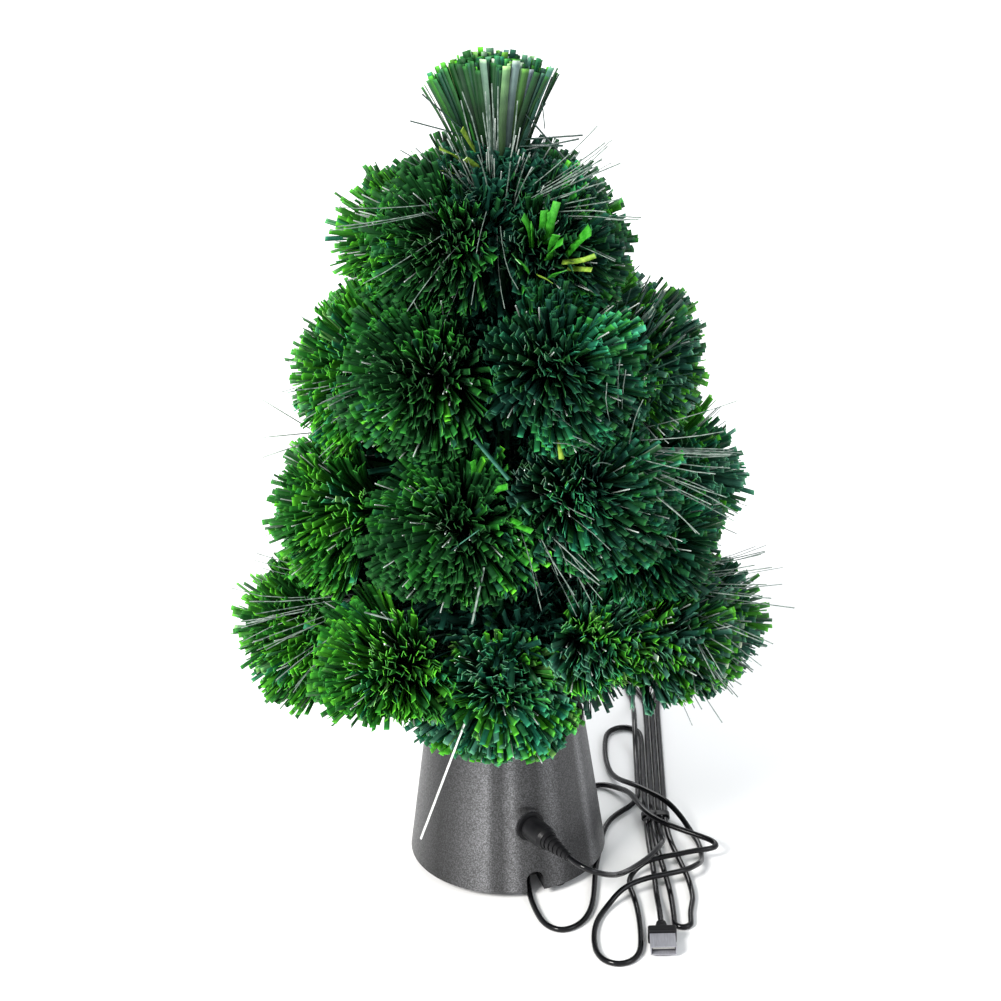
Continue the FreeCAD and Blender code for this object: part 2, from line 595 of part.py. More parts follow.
def sector(name, k, axis, inset, bottom, height):
    """One of the wheel's windows, or the filter in it, smaller all round by an inset."""
    start = 360.0 * k / WINDOW_COUNT
    shrink = math.degrees(worth(inset) / mm("window_inner"))
    place = Placement(axis.Base, Rotation(UP, start + shrink))
    angle = "$window_angle - %g" % (2 * shrink)
    outer = primitive("Cylinder", name + "_outer", place, Radius="$window_outer - %s" % inset,
                      Angle=angle, Height=height, z=bottom)
    inner = primitive("Cylinder", name + "_inner", place, Radius="$window_inner + %s" % inset,
                      Height=height, z=bottom)
    return cut(name, outer, inner)


def lamp():
    holder = lathe("lamp_tube", [
        ("($lamp_radius - $lamp_wall)", CHASSIS_TOP),
        ("$lamp_radius", CHASSIS_TOP),
        ("$lamp_radius", BOARD_BOTTOM),
        ("($lamp_radius - $lamp_wall)", BOARD_BOTTOM),
    ])
    keep(holder, "lamp_holder")
    board = primitive("Cylinder", "board", Radius="$lamp_radius", Height="$board_thickness",
                      z=BOARD_BOTTOM)
    keep(board, "lamp_board")
    straight = primitive("Cylinder", "lens_straight", Radius="$lens_radius", Height="$lens_height",
                         z=BOARD_TOP)
    dome = primitive("Sphere", "lens_dome", Radius="$lens_radius", Angle1="0", Angle2="90",
                     z="%s + $lens_height" % BOARD_TOP)
    keep(fuse("lens", straight, dome), "lamp_lens")


def ribbed(big, small, start, end, number, depth):
    """Corners of a tapered strain relief with ribs, from its big end to its small one."""
    corners = []
    count = int(mm(number))
    for k in range(count):
        for t, groove in ((k, 0), (k + RIB_SHARE, 0), (k + RIB_SHARE, 1), (k + 1, 1)):
            share = t / count
            radius = "(%s - (%s - %s) * %.6f" % (big, big, small, share)
            radius += " - %s * %.6f)" % (depth, groove * (1 - RIB_FADE * share))
            height = "(%s + (%s - %s) * %.6f)" % (start, end, start, share)
            corners.append((radius, height))
    return corners


def power_socket_and_plug():
    place = on_jack_axis()
    pin_hole = "($jack_pin_radius + $running)"
    jack = lathe("jack_body", [
        ("$jack_bore", JACK_FACE),
        (JACK_EDGE, JACK_FACE),
        (JACK_EDGE, BOSS_OUT),
        ("$jack_radius", BOSS_OUT),
        ("$jack_radius", JACK_BACK),
        (pin_hole, JACK_BACK),
        (pin_hole, "(%s - $jack_bore_depth)" % JACK_FACE),
        ("$jack_bore", "(%s - $jack_bore_depth)" % JACK_FACE),
    ], place)
    keep(jack, "power_socket")
    back = worth(JACK_BACK)
    pin = primitive("Cylinder", "socket_pin", on_jack_axis(back),
                    Radius="$jack_pin_radius", Height="$jack_length - $jack_pin_sunk")
    keep(pin, "power_socket_pin")
    low = -mm("jack_boss_in") - mm("nut_thickness")
    prism = primitive("Prism", "nut_prism", on_jack_axis(low),
                      Circumradius="($jack_radius + $nut_wall) / cos(30)", Height="$nut_thickness")
    eye = primitive("Cylinder", "nut_eye", on_jack_axis(low), Radius="$jack_radius + $running",
                    Height="$nut_thickness")
    keep(cut("nut_cut", prism, eye), "power_socket_nut")
    barrel = lathe("plug_barrel", [
        ("$barrel_bore", "(%s - $barrel_length)" % HEAD_FACE),
        ("$barrel_radius", "(%s - $barrel_length)" % HEAD_FACE),
        ("$barrel_radius", HEAD_FACE),
        ("$barrel_bore", HEAD_FACE),
    ], place)
    keep(barrel, "coaxial_plug_barrel")
    ribs = ribbed("$relief_big", "$relief_small", RELIEF_START, "$plug_end", "relief_ribs", "$rib_depth")
    head = lathe("plug_head", [
        ("0", HEAD_FACE),
        ("($plug_radius - $plug_edge)", HEAD_FACE),
        ("$plug_radius", "(%s + $plug_edge)" % HEAD_FACE),
        ("$plug_radius", "(%s - $plug_shoulder)" % RELIEF_START),
        ("($relief_big + $plug_step)", RELIEF_START),
    ] + ribs + [("0", "$plug_end")], place)
    keep(head, "coaxial_plug_head")


def foot_sleeve():
    collar = "(%s + $running)" % SOCKET_TOP
    sleeve = lathe("sleeve", [
        (TRUNK_BORE, SLEEVE_BOTTOM),
        (SLEEVE_OUTER, SLEEVE_BOTTOM),
        (SLEEVE_OUTER, collar),
        (SOCKET_OUTER, collar),
        (SOCKET_OUTER, "(%s + $sleeve_collar)" % collar),
        (SLEEVE_INNER, "(%s + $sleeve_collar)" % collar),
        (SLEEVE_INNER, "(%s + $sleeve_wall)" % SLEEVE_BOTTOM),
        (TRUNK_BORE, "(%s + $sleeve_wall)" % SLEEVE_BOTTOM),
    ])
    keep(sleeve, "trunk_foot_sleeve")


def core_radius(height):
    """Radius of the fibre bundle at a height."""
    bend = worth(TRUNK_BEND)
    share = max(0.0, height - bend) / (mm("trunk_top") - bend)
    taper = mm("trunk_radius") - mm("trunk_top_radius")
    return mm("trunk_radius") - taper * share - mm("trunk_wall") - mm("core_fit")


def branch_line(tier, index):
    """Root on the trunk's axis, direction and tip distance of one branch."""
    name, azimuth, reach, height = BRANCHES[tier][index]
    step = mm("stem_step") * (1 if index % 2 else -1)
    root = Vector(0, 0, mm("tier%d_height" % tier) + step)
    tip = round_direction(azimuth) * reach
    tip.z = height
    along = tip - root
    distance = along.Length
    return name, root, along.normalize(), distance


def tuft(label, neck, radius, length, crown, place):
    """A tuft's outer shape: a cone that opens from its neck, closed by a shallow dome."""
    cone = primitive("Cone", label + "_cone", Radius1=neck, Radius2=radius,
                     Height="%s - %s" % (length, crown))
    ball = "((%s * %s + %s * %s) / (2 * %s))" % (radius, radius, crown, crown, crown)
    low = "asin((%s - %s) / %s)" % (ball, crown, ball)
    dome = primitive("Sphere", label + "_dome", Radius=ball, Angle1=low, Angle2="90",
                     z="%s - %s" % (length, ball))
    whole = fuse(label + "_whole", cone, dome)
    whole.Placement = place
    keep(whole, label)


def tree():
    stems = []
    holes = []
    for tier, branches in BRANCHES.items():
        for index in range(len(branches)):
            name, root, along, distance = branch_line(tier, index)
            label = "branch_%d_%s" % (tier, name)
            neck = distance - mm("tier%d_length" % tier)
            turn = Rotation(UP, along)
            tuft(label, "$tuft_neck", "$tier%d_radius" % tier, "$tier%d_length" % tier, "$tuft_crown",
                 Placement(root + along * neck, turn))
            level = math.hypot(along.x, along.y)
            near = core_radius(root.z) + mm("fit") + mm("stem_radius") * abs(along.z)
            inner = near / level
            stem = primitive("Cylinder", label + "_stem", Placement(root + along * inner, turn),
                             Radius="$stem_radius")
            stem.Height = neck - inner
            stems.append(stem)
            mouth = Placement(root + along * (inner - mm("fit")), turn)
            holes.append(primitive("Cylinder", label + "_hole", mouth, Radius="$stem_radius + $fit",
                                   Height="$trunk_radius + %g" % OVERSHOOT))
    keep(group("stems", stems), "branch_stems")
    tube_wall = lathe("trunk_wall_tube", [
        (TRUNK_BORE, TRUNK_BOTTOM),
        ("$trunk_radius", TRUNK_BOTTOM),
        ("$trunk_radius", TRUNK_BEND),
        ("$trunk_top_radius", "$trunk_top"),
        (TRUNK_TOP_BORE, "$trunk_top"),
        (TRUNK_BORE, TRUNK_BEND),
    ])
    keep(cut("trunk_cut", tube_wall, *holes), "trunk_tube")
    core_bottom = "(%s + $core_recess)" % TRUNK_BOTTOM
    core_top = "($trunk_top - $core_recess)"
    core = lathe("core", [
        ("0", core_bottom),
        ("(%s - $core_fit)" % TRUNK_BORE, core_bottom),
        ("(%s - $core_fit)" % TRUNK_BORE, TRUNK_BEND),
        ("(%s - $core_fit)" % TRUNK_TOP_BORE, core_top),
        ("0", core_top),
    ])
    keep(core, "fibre_bundle")
    tuft("top_tuft", "$trunk_top_radius", "$top_radius", "$top_length", "$top_crown",
         Placement(Vector(0, 0, mm("trunk_top")), Rotation()))


# An arc starts and ends at this share of the shorter of the two runs that it joins.
BEND_SHARE = 0.45


def bent_path(points):
    """Straight runs joined by tangent arcs: the edges, and the radii of the arcs."""
    corners = [Vector(*point) for point in points]
    edges = []
    radii = []
    last = corners[0]
    for before, here, after in zip(corners, corners[1:], corners[2:]):
        arriving = here - before
        leaving = after - here
        cut_back = BEND_SHARE * min(arriving.Length, leaving.Length)
        turn = arriving.getAngle(leaving)
        radius = cut_back / math.tan(turn / 2)
        arriving.normalize()
        leaving.normalize()
        start = here - arriving * cut_back
        end = here + leaving * cut_back
        towards = (leaving - arriving).normalize()
        middle = here + towards * (math.hypot(radius, cut_back) - radius)
        edges.append(Part.LineSegment(last, start).toShape())
        edges.append(Part.Arc(start, middle, end).toShape())
        radii.append(radius)
        last = end
    edges.append(Part.LineSegment(last, corners[-1]).toShape())
    return edges, radii


def swept(label, edges, diameter):
    """A round tube along joined edges, its volume compared with section times length."""
    first = edges[0]
    start = first.valueAt(first.FirstParameter)
    heading = first.tangentAt(first.FirstParameter)
    ring = Part.Wire([Part.makeCircle(diameter / 2, start, heading)])
    wire = Part.Wire(edges)
    sweep = Part.BRepOffsetAPI.MakePipeShell(wire)
    sweep.add(ring)
    sweep.build()
    sweep.makeSolid()
    item = doc.addObject("Part::Feature", label + "_sweep")
    item.Shape = sweep.shape()
    expected = wire.Length * math.pi * diameter ** 2 / 4
    ratio = item.Shape.Volume / expected
    print("%s: length %.1f mm, volume ratio %.4f" % (label, wire.Length, ratio))
    if abs(ratio - 1) > 0.005:
        raise RuntimeError(label + " has lost its section")
    return item


def cord_tube(label, points, diameter):
    """A free stretch of cord through hand-chosen points."""
    edges, radii = bent_path(points)
    print("%s: radii from %.1f mm: %s" % (label, min(radii), " ".join("%.0f" % r for r in radii)))
    return swept(label, edges, diameter)


class Winder:
    """Walks along a hank and leaves lines and arcs behind it."""

    def __init__(self, start, heading):
        self.at = start
        self.heading = heading
        self.edges = []

    def ahead(self, length):
        end = self.at + self.heading * length
        self.edges.append(Part.LineSegment(self.at, end).toShape())
        self.at = end

    def arc(self, towards, radius, angle):
        centre = self.at + towards * radius
        places = []
        for share in (0.5, 1.0):
            beside = towards * (radius * math.cos(angle * share))
            onward = self.heading * (radius * math.sin(angle * share))
            places.append(centre - beside + onward)
        self.edges.append(Part.Arc(self.at, places[0], places[1]).toShape())
        self.at = places[1]
        self.heading = self.heading * math.cos(angle) + towards * math.sin(angle)

    def shift(self, offset, length):
        """Move sideways while going ahead: two equal arcs, out of line and back."""
        sideways = offset.Length
        angle = 2 * math.atan2(sideways, length)
        radius = length / (2 * math.sin(angle))
        across = Vector(offset) * (1 / sideways)
        self.arc(across, radius, angle)
        back = across * -1
        back = back - self.heading * back.dot(self.heading)
        self.arc(back.normalize(), radius, angle)


# The hank: it lies turned this many degrees from the Y axis, held together at its waist.
HANK_TURN = 1.2
HANK_ENTRY = 19.0
HANK_WAIST = 21.0
HANK_STRAIGHT = 80.0
HANK_END = 28.0
# Strands drop from the tie to the table by this much, over this length.
HANK_LIFT = 0.8
HANK_EASE = 22.0
# The two long loops behind the tie: their radii, and how far and how soon they widen.
INNER_LOOP = 8.4
INNER_SPREAD = 6.775
OUTER_LOOP = 12.0
OUTER_SPREAD = 6.9
OUTER_EARLY = 3.0
HANK_BULGE = 27.0
# The folded loop in front of the tie.
FOLD_SHIFT = 7.2
FOLD_WAY = 76.0
FOLD_AHEAD = 10.0
FOLD_RADIUS = 4.0
FOLD_BACK = 8.0
FOLD_BULGE = 2.0
FOLD_BULGE_WAY = 14.0
FOLD_RETURN = 64.0
# Strands side by side under the tie.
LANE = 3.25
# The last strand steps over the one that it crosses.
HUMP = 5.9
HUMP_RISE = 21.0
HUMP_TOP = 12.0
HUMP_FALL = 24.0


def hank_path():
    """The hank: two long loops behind the tie and one folded loop in front of it."""
    turn = math.radians(HANK_TURN)
    onward = Vector(math.sin(turn), math.cos(turn), 0)
    side = Vector(math.cos(turn), -math.sin(turn), 0)
    walk = Winder(Vector(*PLUG_LEAD[-1]), onward)
    walk.ahead(HANK_ENTRY)
    walk.shift(UP * -HANK_LIFT, HANK_EASE)
    walk.ahead(HANK_STRAIGHT)
    walk.shift(side * INNER_SPREAD, HANK_BULGE)
    walk.arc(side * -1, INNER_LOOP, math.pi)
    walk.shift(side * INNER_SPREAD, HANK_BULGE)
    walk.ahead(HANK_STRAIGHT)
    walk.shift(UP * HANK_LIFT, HANK_EASE)
    walk.ahead(HANK_WAIST)
    walk.shift(side * FOLD_SHIFT - UP * HANK_LIFT, FOLD_WAY)
    walk.ahead(FOLD_AHEAD)
    walk.arc(side, FOLD_RADIUS, math.pi)
    walk.ahead(FOLD_BACK)
    walk.shift(side * FOLD_BULGE, FOLD_BULGE_WAY)
    inwards = 2 * LANE - 2 * FOLD_RADIUS - FOLD_SHIFT - FOLD_BULGE
    walk.shift(side * inwards + UP * HANK_LIFT, FOLD_RETURN)
    walk.ahead(HANK_WAIST)
    walk.shift(UP * -HANK_LIFT, HANK_EASE)
    walk.ahead(HANK_STRAIGHT - OUTER_EARLY)
    walk.shift(side * OUTER_SPREAD, HANK_BULGE + OUTER_EARLY)
    walk.arc(side * -1, OUTER_LOOP, math.pi)
    walk.shift(side * (2 * OUTER_LOOP - OUTER_SPREAD - 4 * LANE), HANK_BULGE)
    walk.shift(UP * HUMP, HUMP_RISE)
    walk.ahead(HUMP_TOP)
    walk.shift(UP * -HUMP, HUMP_FALL)
    walk.ahead(HANK_END)
    return walk.edges


# The cord leaves the coaxial plug straight for this long.
LEAD_STRAIGHT = 8.7
SAMPLE_STEP = 1.5


def least_gap(edges, diameter):
    """The least gap of a tube to itself, from points along its middle line."""
    points = []
    travelled = 0.0
    for edge in edges:
        steps = max(2, int(edge.Length / SAMPLE_STEP))
        for k in range(steps):
            at = edge.getParameterByLength(edge.Length * k / steps)
            points.append((travelled + edge.Length * k / steps, edge.valueAt(at)))
        travelled += edge.Length
    least = travelled
    for k, (along, here) in enumerate(points):
        for further, there in points[k + 1:]:
            if further - along > 4 * diameter:
                least = min(least, (there - here).Length)
    return least - diameter


def lead():
    diameter = mm("cord_diameter")
    from_plug = [on_jack_axis(mm("plug_end")).Base, on_jack_axis(mm("plug_end") + LEAD_STRAIGHT).Base]
    keep(cord_tube("cord_plug_lead", from_plug + PLUG_LEAD, diameter), "cord_plug_lead")
    hank = hank_path()
    print("cord_hank: least gap to itself %.2f mm" % least_gap(hank, diameter))
    keep(swept("cord_hank", hank, diameter), "cord_hank")
    keep(cord_tube("cord_tail", TAIL, diameter), "cord_tail")


# The tie, by its Y, and the way its twisted ends lie.
TIE_PLACE = 22.0
TWIST_DIRECTION = Vector(-0.55, -0.8, 0.06)


def twist_tie():
    """A flat tie round the four strands of the waist, its ends twisted on top."""
    waist = Vector(*PLUG_LEAD[-1])
    tail_strand = next(x for x, y, _ in reversed(TAIL) if y == TIE_PLACE)
    first = Vector(tail_strand, TIE_PLACE, waist.z)
    lean = (TIE_PLACE - waist.y) * math.tan(math.radians(HANK_TURN))
    last = Vector(waist.x + LANE + lean, TIE_PLACE, waist.z)
    inner = mm("cord_diameter") / 2 + mm("tie_clear")
    outer = inner + mm("tie_thickness")
    rings = []
    for name, radius in (("outer", outer), ("inner", inner)):
        back = Rotation(Vector(1, 0, 0), -90)
        start = Vector(0, -mm("tie_width") / 2, 0)
        ends = []
        for k, centre in enumerate((first, last)):
            drum = primitive("Cylinder", "tie_%s_%d" % (name, k), Placement(centre + start, back))
            drum.Radius = radius
            drum.Height = mm("tie_width")
            ends.append(drum)
        flat = primitive("Box", "tie_%s_flat" % name, Placement(first + start - UP * radius, Rotation()))
        flat.Length = last.x - first.x
        flat.Width = mm("tie_width")
        flat.Height = 2 * radius
        rings.append(fuse("tie_" + name, flat, *ends))
    band = cut("tie_band", *rings)
    middle = (first + last) * 0.5 + UP * (outer + mm("twist_lift"))
    twist = primitive("Cylinder", "tie_twist", Placement(middle, Rotation(UP, TWIST_DIRECTION)),
                      Radius="$twist_radius", Height="$twist_length")
    keep(fuse("tie", band, twist), "twist_tie")


def usb_plug():
    place = Placement(Vector(*TAIL[-1]), Rotation(UP, Vector(0, -1, 0)))
    relief_end = "$usb_relief_length"
    grip_end = "(%s + $usb_grip_length)" % relief_end
    ribs = ribbed("$usb_relief_big", "$usb_relief_small", relief_end, "0", "usb_relief_ribs",
                  "$usb_rib_depth")
    relief = lathe("usb_relief", [("0", relief_end)] + ribs + [("0", "0")])
    block = primitive("Box", "usb_block", Length="$usb_grip_width", Width="$usb_grip_height",
                      Height="$usb_grip_length", x="-$usb_grip_width / 2", y="-$usb_grip_height / 2",
                      z=relief_end)
    doc.recompute()
    rounded = doc.addObject("Part::Fillet", "usb_grip_rounded")
    rounded.Base = block
    edge = mm("usb_grip_edge")
    rounded.Edges = [(k, edge, edge) for k in range(1, len(block.Shape.Edges) + 1)]
    tongue = primitive("Box", "usb_tongue", Length="$usb_tongue_width", Width="$usb_tongue_thickness",
                       Height="$usb_tongue_length + $usb_tongue_root", x="-$usb_tongue_width / 2",
                       y="$usb_tongue_side", z="%s - $usb_tongue_root" % grip_end)
    grip = fuse("usb_grip", relief, rounded, tongue)
    grip.Placement = place
    keep(grip, "usb_plug_grip")
    outer = primitive("Box", "usb_outer", Length="$usb_shell_width", Width="$usb_shell_height",
                      Height="$usb_shell_length", x="-$usb_shell_width / 2", y="-$usb_shell_height / 2",
                      z=grip_end)
    inner = primitive("Box", "usb_inner", Length="$usb_shell_width - 2 * $usb_shell_wall",
                      Width="$usb_shell_height - 2 * $usb_shell_wall",
                      Height="$usb_shell_length + %g" % (2 * OVERSHOOT),
                      x="-$usb_shell_width / 2 + $usb_shell_wall",
                      y="-$usb_shell_height / 2 + $usb_shell_wall", z="%s - %g" % (grip_end, OVERSHOOT))
    shell = cut("usb_shell", outer, inner)
    shell.Placement = place
    keep(shell, "usb_plug_shell")


def inner_wires():
    """Two leads from the back of the power socket, to the lamp board and the motor."""
    outward = round_direction(mm("jack_azimuth"))
    back = on_jack_axis(worth(JACK_BACK) - mm("fit")).Base
    lead_in = mm("wire_lead")
    board_edge = Vector(0, -mm("lamp_radius") - mm("fit"), 0)
    board_edge.z = worth(BOARD_BOTTOM) + mm("board_thickness") / 2
    motor_side = on_wheel_axis().Base + Vector(0, -mm("motor_radius") - mm("fit"), 0)
    motor_side.z = worth(CHASSIS_TOP) + mm("motor_height") / 2
    wires = []
    for name, rise, end in (("lamp_wire", 1, board_edge), ("motor_wire", -1, motor_side)):
        start = back + UP * (rise * mm("wire_spread"))
        points = [start, start - outward * lead_in, end - Vector(0, lead_in, 0), end]
        wires.append(cord_tube(name, points, mm("wire_diameter")))
    keep(group("wires", wires), "inner_wires")


base_shell()
bottom_cover()
rubber_feet()
cover_screws()
top_cap()
trunk_socket()
chassis()
lamp()
motor_and_wheel()
power_socket_and_plug()
foot_sleeve()
tree()
lead()
twist_tie()
usb_plug()
inner_wires()

doc.recompute()
for item in doc.Objects:
    if "Invalid" in item.State or "Error" in item.State:
        raise RuntimeError("%s is %s" % (item.Label, item.State))
os.makedirs("parts", exist_ok=True)
for piece in pieces:
    shape = piece.Shape
    if shape.isNull() or not shape.isValid() or not shape.Solids:
        raise RuntimeError(piece.Label + " has no valid solid")
for piece in pieces:
    piece.Shape.exportStep("parts/%s.step" % piece.Label)
    print("%-26s %2d solids, %10.1f mm3" % (piece.Label, len(piece.Shape.Solids), piece.Shape.Volume))
print(len(pieces), "pieces")
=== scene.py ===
# %% [markdown]
# A small fibre-optic Christmas tree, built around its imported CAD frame.
# Everything is in metres in the frame of the CAD: the origin on the table under the
# middle of the base, +Z up, +X to the viewer's right. The frame already holds every
# hard piece at its real size. This script gives those pieces their finishes and makes
# what CAD leaves plain: the bunches of cut strips, the light fibres and the lead.

# %% Load the frame
import math

import bpy
from mathutils import Matrix, Vector


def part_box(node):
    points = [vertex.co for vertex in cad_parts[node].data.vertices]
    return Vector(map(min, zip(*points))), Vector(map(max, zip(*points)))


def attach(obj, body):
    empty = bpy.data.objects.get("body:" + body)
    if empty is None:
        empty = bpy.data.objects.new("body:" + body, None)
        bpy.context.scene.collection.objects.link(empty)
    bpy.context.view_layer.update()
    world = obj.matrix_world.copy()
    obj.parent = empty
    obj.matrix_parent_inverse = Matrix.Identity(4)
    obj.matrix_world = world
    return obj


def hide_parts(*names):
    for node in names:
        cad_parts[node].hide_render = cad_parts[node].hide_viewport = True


MM = 0.001
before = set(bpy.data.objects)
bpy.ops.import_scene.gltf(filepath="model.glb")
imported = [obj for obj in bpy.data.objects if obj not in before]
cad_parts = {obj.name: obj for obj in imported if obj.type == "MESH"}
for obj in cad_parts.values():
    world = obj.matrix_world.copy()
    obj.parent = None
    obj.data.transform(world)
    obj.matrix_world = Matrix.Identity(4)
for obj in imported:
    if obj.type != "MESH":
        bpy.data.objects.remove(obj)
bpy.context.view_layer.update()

# %% [markdown]
# ## Camera
# A photograph of a small object is matched by its camera first, because a wrong lens
# makes every later comparison wrong. The place, lens and tilt here were fitted to the
# base's two rims, whose real sizes are known, so the render can be laid over the photo.

# %% Camera
CAMERA_PLACE = Vector((0.0, -1.248, 0.797))
LOOKS_DOWN = math.radians(25.88)
LEANS = math.radians(-1.28)
SENSOR = 36.0
FOCAL_PIXELS = 2954.1
FRAME_PIXELS = 1001.0

camera = bpy.data.objects.new("camera", bpy.data.cameras.new("camera"))
bpy.context.scene.collection.objects.link(camera)
camera.data.sensor_width = SENSOR
camera.data.lens = FOCAL_PIXELS * SENSOR / FRAME_PIXELS
camera.data.clip_start = 0.05
level_right = Vector((1, 0, 0))
level_up = Vector((0, math.sin(LOOKS_DOWN), math.cos(LOOKS_DOWN)))
right = math.cos(LEANS) * level_right + math.sin(LEANS) * level_up
up = math.cos(LEANS) * level_up - math.sin(LEANS) * level_right
back = right.cross(up)
turn = Matrix((right, up, back)).transposed().to_4x4()
camera.matrix_world = Matrix.Translation(CAMERA_PLACE) @ turn
bpy.context.scene.camera = camera
print("lens: %.1f mm" % camera.data.lens)

# %% [markdown]
# ## Light and floor
# The photograph was taken on white with broad soft light, so large area lights do the
# work: the key from the front left, a weaker one from the right, and one from behind
# that edges the tips. The floor is one pale plane that runs out of view on every side.

# %% Light
TREE_MIDDLE = (0.0, 0.0, 0.2)
SKY_TINT = (0.95, 0.97, 1.0)
SKY_STRENGTH = 0.78


def area_light(name, place, target, size, watts, tint):
    """A square soft light that looks at a point."""
    light = bpy.data.lights.new(name, "AREA")
    light.size = size
    light.energy = watts
    light.color = tint
    holder = bpy.data.objects.new(name, light)
    holder.location = place
    holder.rotation_euler = (Vector(target) - Vector(place)).to_track_quat("-Z", "Y").to_euler()
    bpy.context.scene.collection.objects.link(holder)


area_light("key_front_left", (-0.9, -1.0, 1.1), TREE_MIDDLE, 0.5, 38.0, (1.0, 0.98, 0.95))
area_light("fill_right", (1.1, -0.7, 0.8), TREE_MIDDLE, 0.7, 6.0, (0.92, 0.96, 1.0))
area_light("rim_behind", (-0.2, 1.2, 1.2), TREE_MIDDLE, 0.8, 14.0, (1.0, 1.0, 1.0))

world = bpy.data.worlds.new("studio")
bpy.context.scene.world = world
world.use_nodes = True
world.node_tree.nodes["Background"].inputs["Color"].default_value = (*SKY_TINT, 1.0)
world.node_tree.nodes["Background"].inputs["Strength"].default_value = SKY_STRENGTH
bpy.context.scene.view_settings.view_transform = "Standard"

# %% Floor
FLOOR_REACH = 6.0
FLOOR_DEPTH = 0.0002
FLOOR_GREY = 0.92
floor_mesh = bpy.data.meshes.new("floor")
floor_mesh.from_pydata([(-FLOOR_REACH, -FLOOR_REACH, 0), (FLOOR_REACH, -FLOOR_REACH, 0),
                        (FLOOR_REACH, FLOOR_REACH, 0), (-FLOOR_REACH, FLOOR_REACH, 0)],
                       [], [(0, 1, 2, 3)])
floor = bpy.data.objects.new("floor", floor_mesh)
floor.location.z = -FLOOR_DEPTH
bpy.context.scene.collection.objects.link(floor)
pale_floor = bpy.data.materials.new("pale_floor")
pale_floor.use_nodes = True
floor_coat = pale_floor.node_tree.nodes["Principled BSDF"]
floor_coat.inputs["Base Color"].default_value = (FLOOR_GREY, FLOOR_GREY, FLOOR_GREY, 1.0)
floor_coat.inputs["Roughness"].default_value = 0.8
floor.data.materials.append(pale_floor)
print("floor reaches %.0f m to each side" % FLOOR_REACH)

# %% [markdown]
# ## Small helpers
# Node trees, for materials and for Geometry Nodes alike, are wired by hand in Blender.
# In a script one helper that adds a node, sets it and links its inputs in order keeps
# each tree short enough to read from top to bottom.

# %% Helpers for node trees


def put(tree, kind, *inputs, **settings):
    """Adds a node. Settings are its properties; inputs are values or outputs to link, in order."""
    made = tree.nodes.new(kind)
    for key, value in settings.items():
        setattr(made, key, value)
    open_inputs = [socket for socket in made.inputs if socket.enabled]
    for socket, given in zip(open_inputs, inputs):
        wire(tree, socket, given)
    return made


def wire(tree, socket, given):
    """Links an output to a socket, or sets the socket's own value; None leaves it."""
    if isinstance(given, bpy.types.NodeSocket):
        tree.links.new(given, socket)
    elif given is not None:
        socket.default_value = given


def math_node(tree, operation, *inputs):
    """One step of arithmetic on numbers."""
    return put(tree, "ShaderNodeMath", *inputs, operation=operation).outputs[0]


print("helpers for node trees ready")

# %% Helpers for materials
NOISE_RANGE = (0.3, 0.7)


def finish_of(name, base=(0.5, 0.5, 0.5), roughness=0.5, metal=0.0, **more):
    """A new material with its shader's plain values set, and its tree to add detail to."""
    material = bpy.data.materials.new(name)
    material.use_nodes = True
    shader = material.node_tree.nodes["Principled BSDF"]
    shader.inputs["Base Color"].default_value = (*base, 1.0)
    shader.inputs["Roughness"].default_value = roughness
    shader.inputs["Metallic"].default_value = metal
    for label, value in more.items():
        shader.inputs[label.replace("_", " ")].default_value = value
    return material, material.node_tree, shader


def grain(tree, scale, detail=4.0):
    """Fine noise in the object's own space."""
    place = put(tree, "ShaderNodeTexCoord").outputs["Object"]
    noise = put(tree, "ShaderNodeTexNoise")
    wire(tree, noise.inputs["Vector"], place)
    noise.inputs["Scale"].default_value = scale
    noise.inputs["Detail"].default_value = detail
    return noise.outputs["Fac"]


def ramp(tree, value, *stops):
    """Colours along a value, as (position, (r, g, b)) stops."""
    made = put(tree, "ShaderNodeValToRGB", value)
    elements = made.color_ramp.elements
    while len(elements) < len(stops):
        elements.new(0.5)
    for element, (position, colour) in zip(elements, stops):
        element.position = position
        element.color = (*colour, 1.0)
    return made.outputs["Color"]


def span(tree, value, low, high, new_low, new_high):
    """Maps a value from one range to another and clamps it there."""
    made = put(tree, "ShaderNodeMapRange", value, low, high, new_low, new_high)
    return made.outputs["Result"]


def rough_by(tree, shader, pattern, low, high):
    """Lets a noise pattern move the roughness between two values."""
    wire(tree, shader.inputs["Roughness"], span(tree, pattern, *NOISE_RANGE, low, high))


def bumped(tree, shader, height, strength, distance):
    """Lets a height pattern tilt the surface's light a little."""
    bump = put(tree, "ShaderNodeBump")
    bump.inputs["Strength"].default_value = strength
    bump.inputs["Distance"].default_value = distance
    wire(tree, bump.inputs["Height"], height)
    wire(tree, shader.inputs["Normal"], bump.outputs["Normal"])


print("helpers for materials ready")

# %% [markdown]
# ## Finishes of the hard pieces
# Every CAD node gets its own procedural finish. The moulded plastics share one recipe, a
# fine grain that moves both the roughness and the bump, and the metals share another,
# brushed streaks. The plug, the base, the lens, the colour films and the wound trunk are
# special and come after. All patterns are placed by object coordinates, so they stay put
# when the tree turns.

# %% Patterns in the object's own space


def own_place(tree, offset=(0.0, 0.0, 0.0), stretch=(1.0, 1.0, 1.0)):
    """The object's own coordinates, moved and stretched."""
    place = put(tree, "ShaderNodeTexCoord").outputs["Object"]
    moved = put(tree, "ShaderNodeVectorMath", place, offset, operation="ADD").outputs[0]
    return put(tree, "ShaderNodeVectorMath", moved, stretch, operation="MULTIPLY").outputs[0]


def streaks(tree, stretch, scale, detail=3.0):
    """Noise drawn out along one or two axes."""
    noise = put(tree, "ShaderNodeTexNoise")
    wire(tree, noise.inputs["Vector"], own_place(tree, stretch=stretch))
    noise.inputs["Scale"].default_value = scale
    noise.inputs["Detail"].default_value = detail
    return noise.outputs["Fac"]


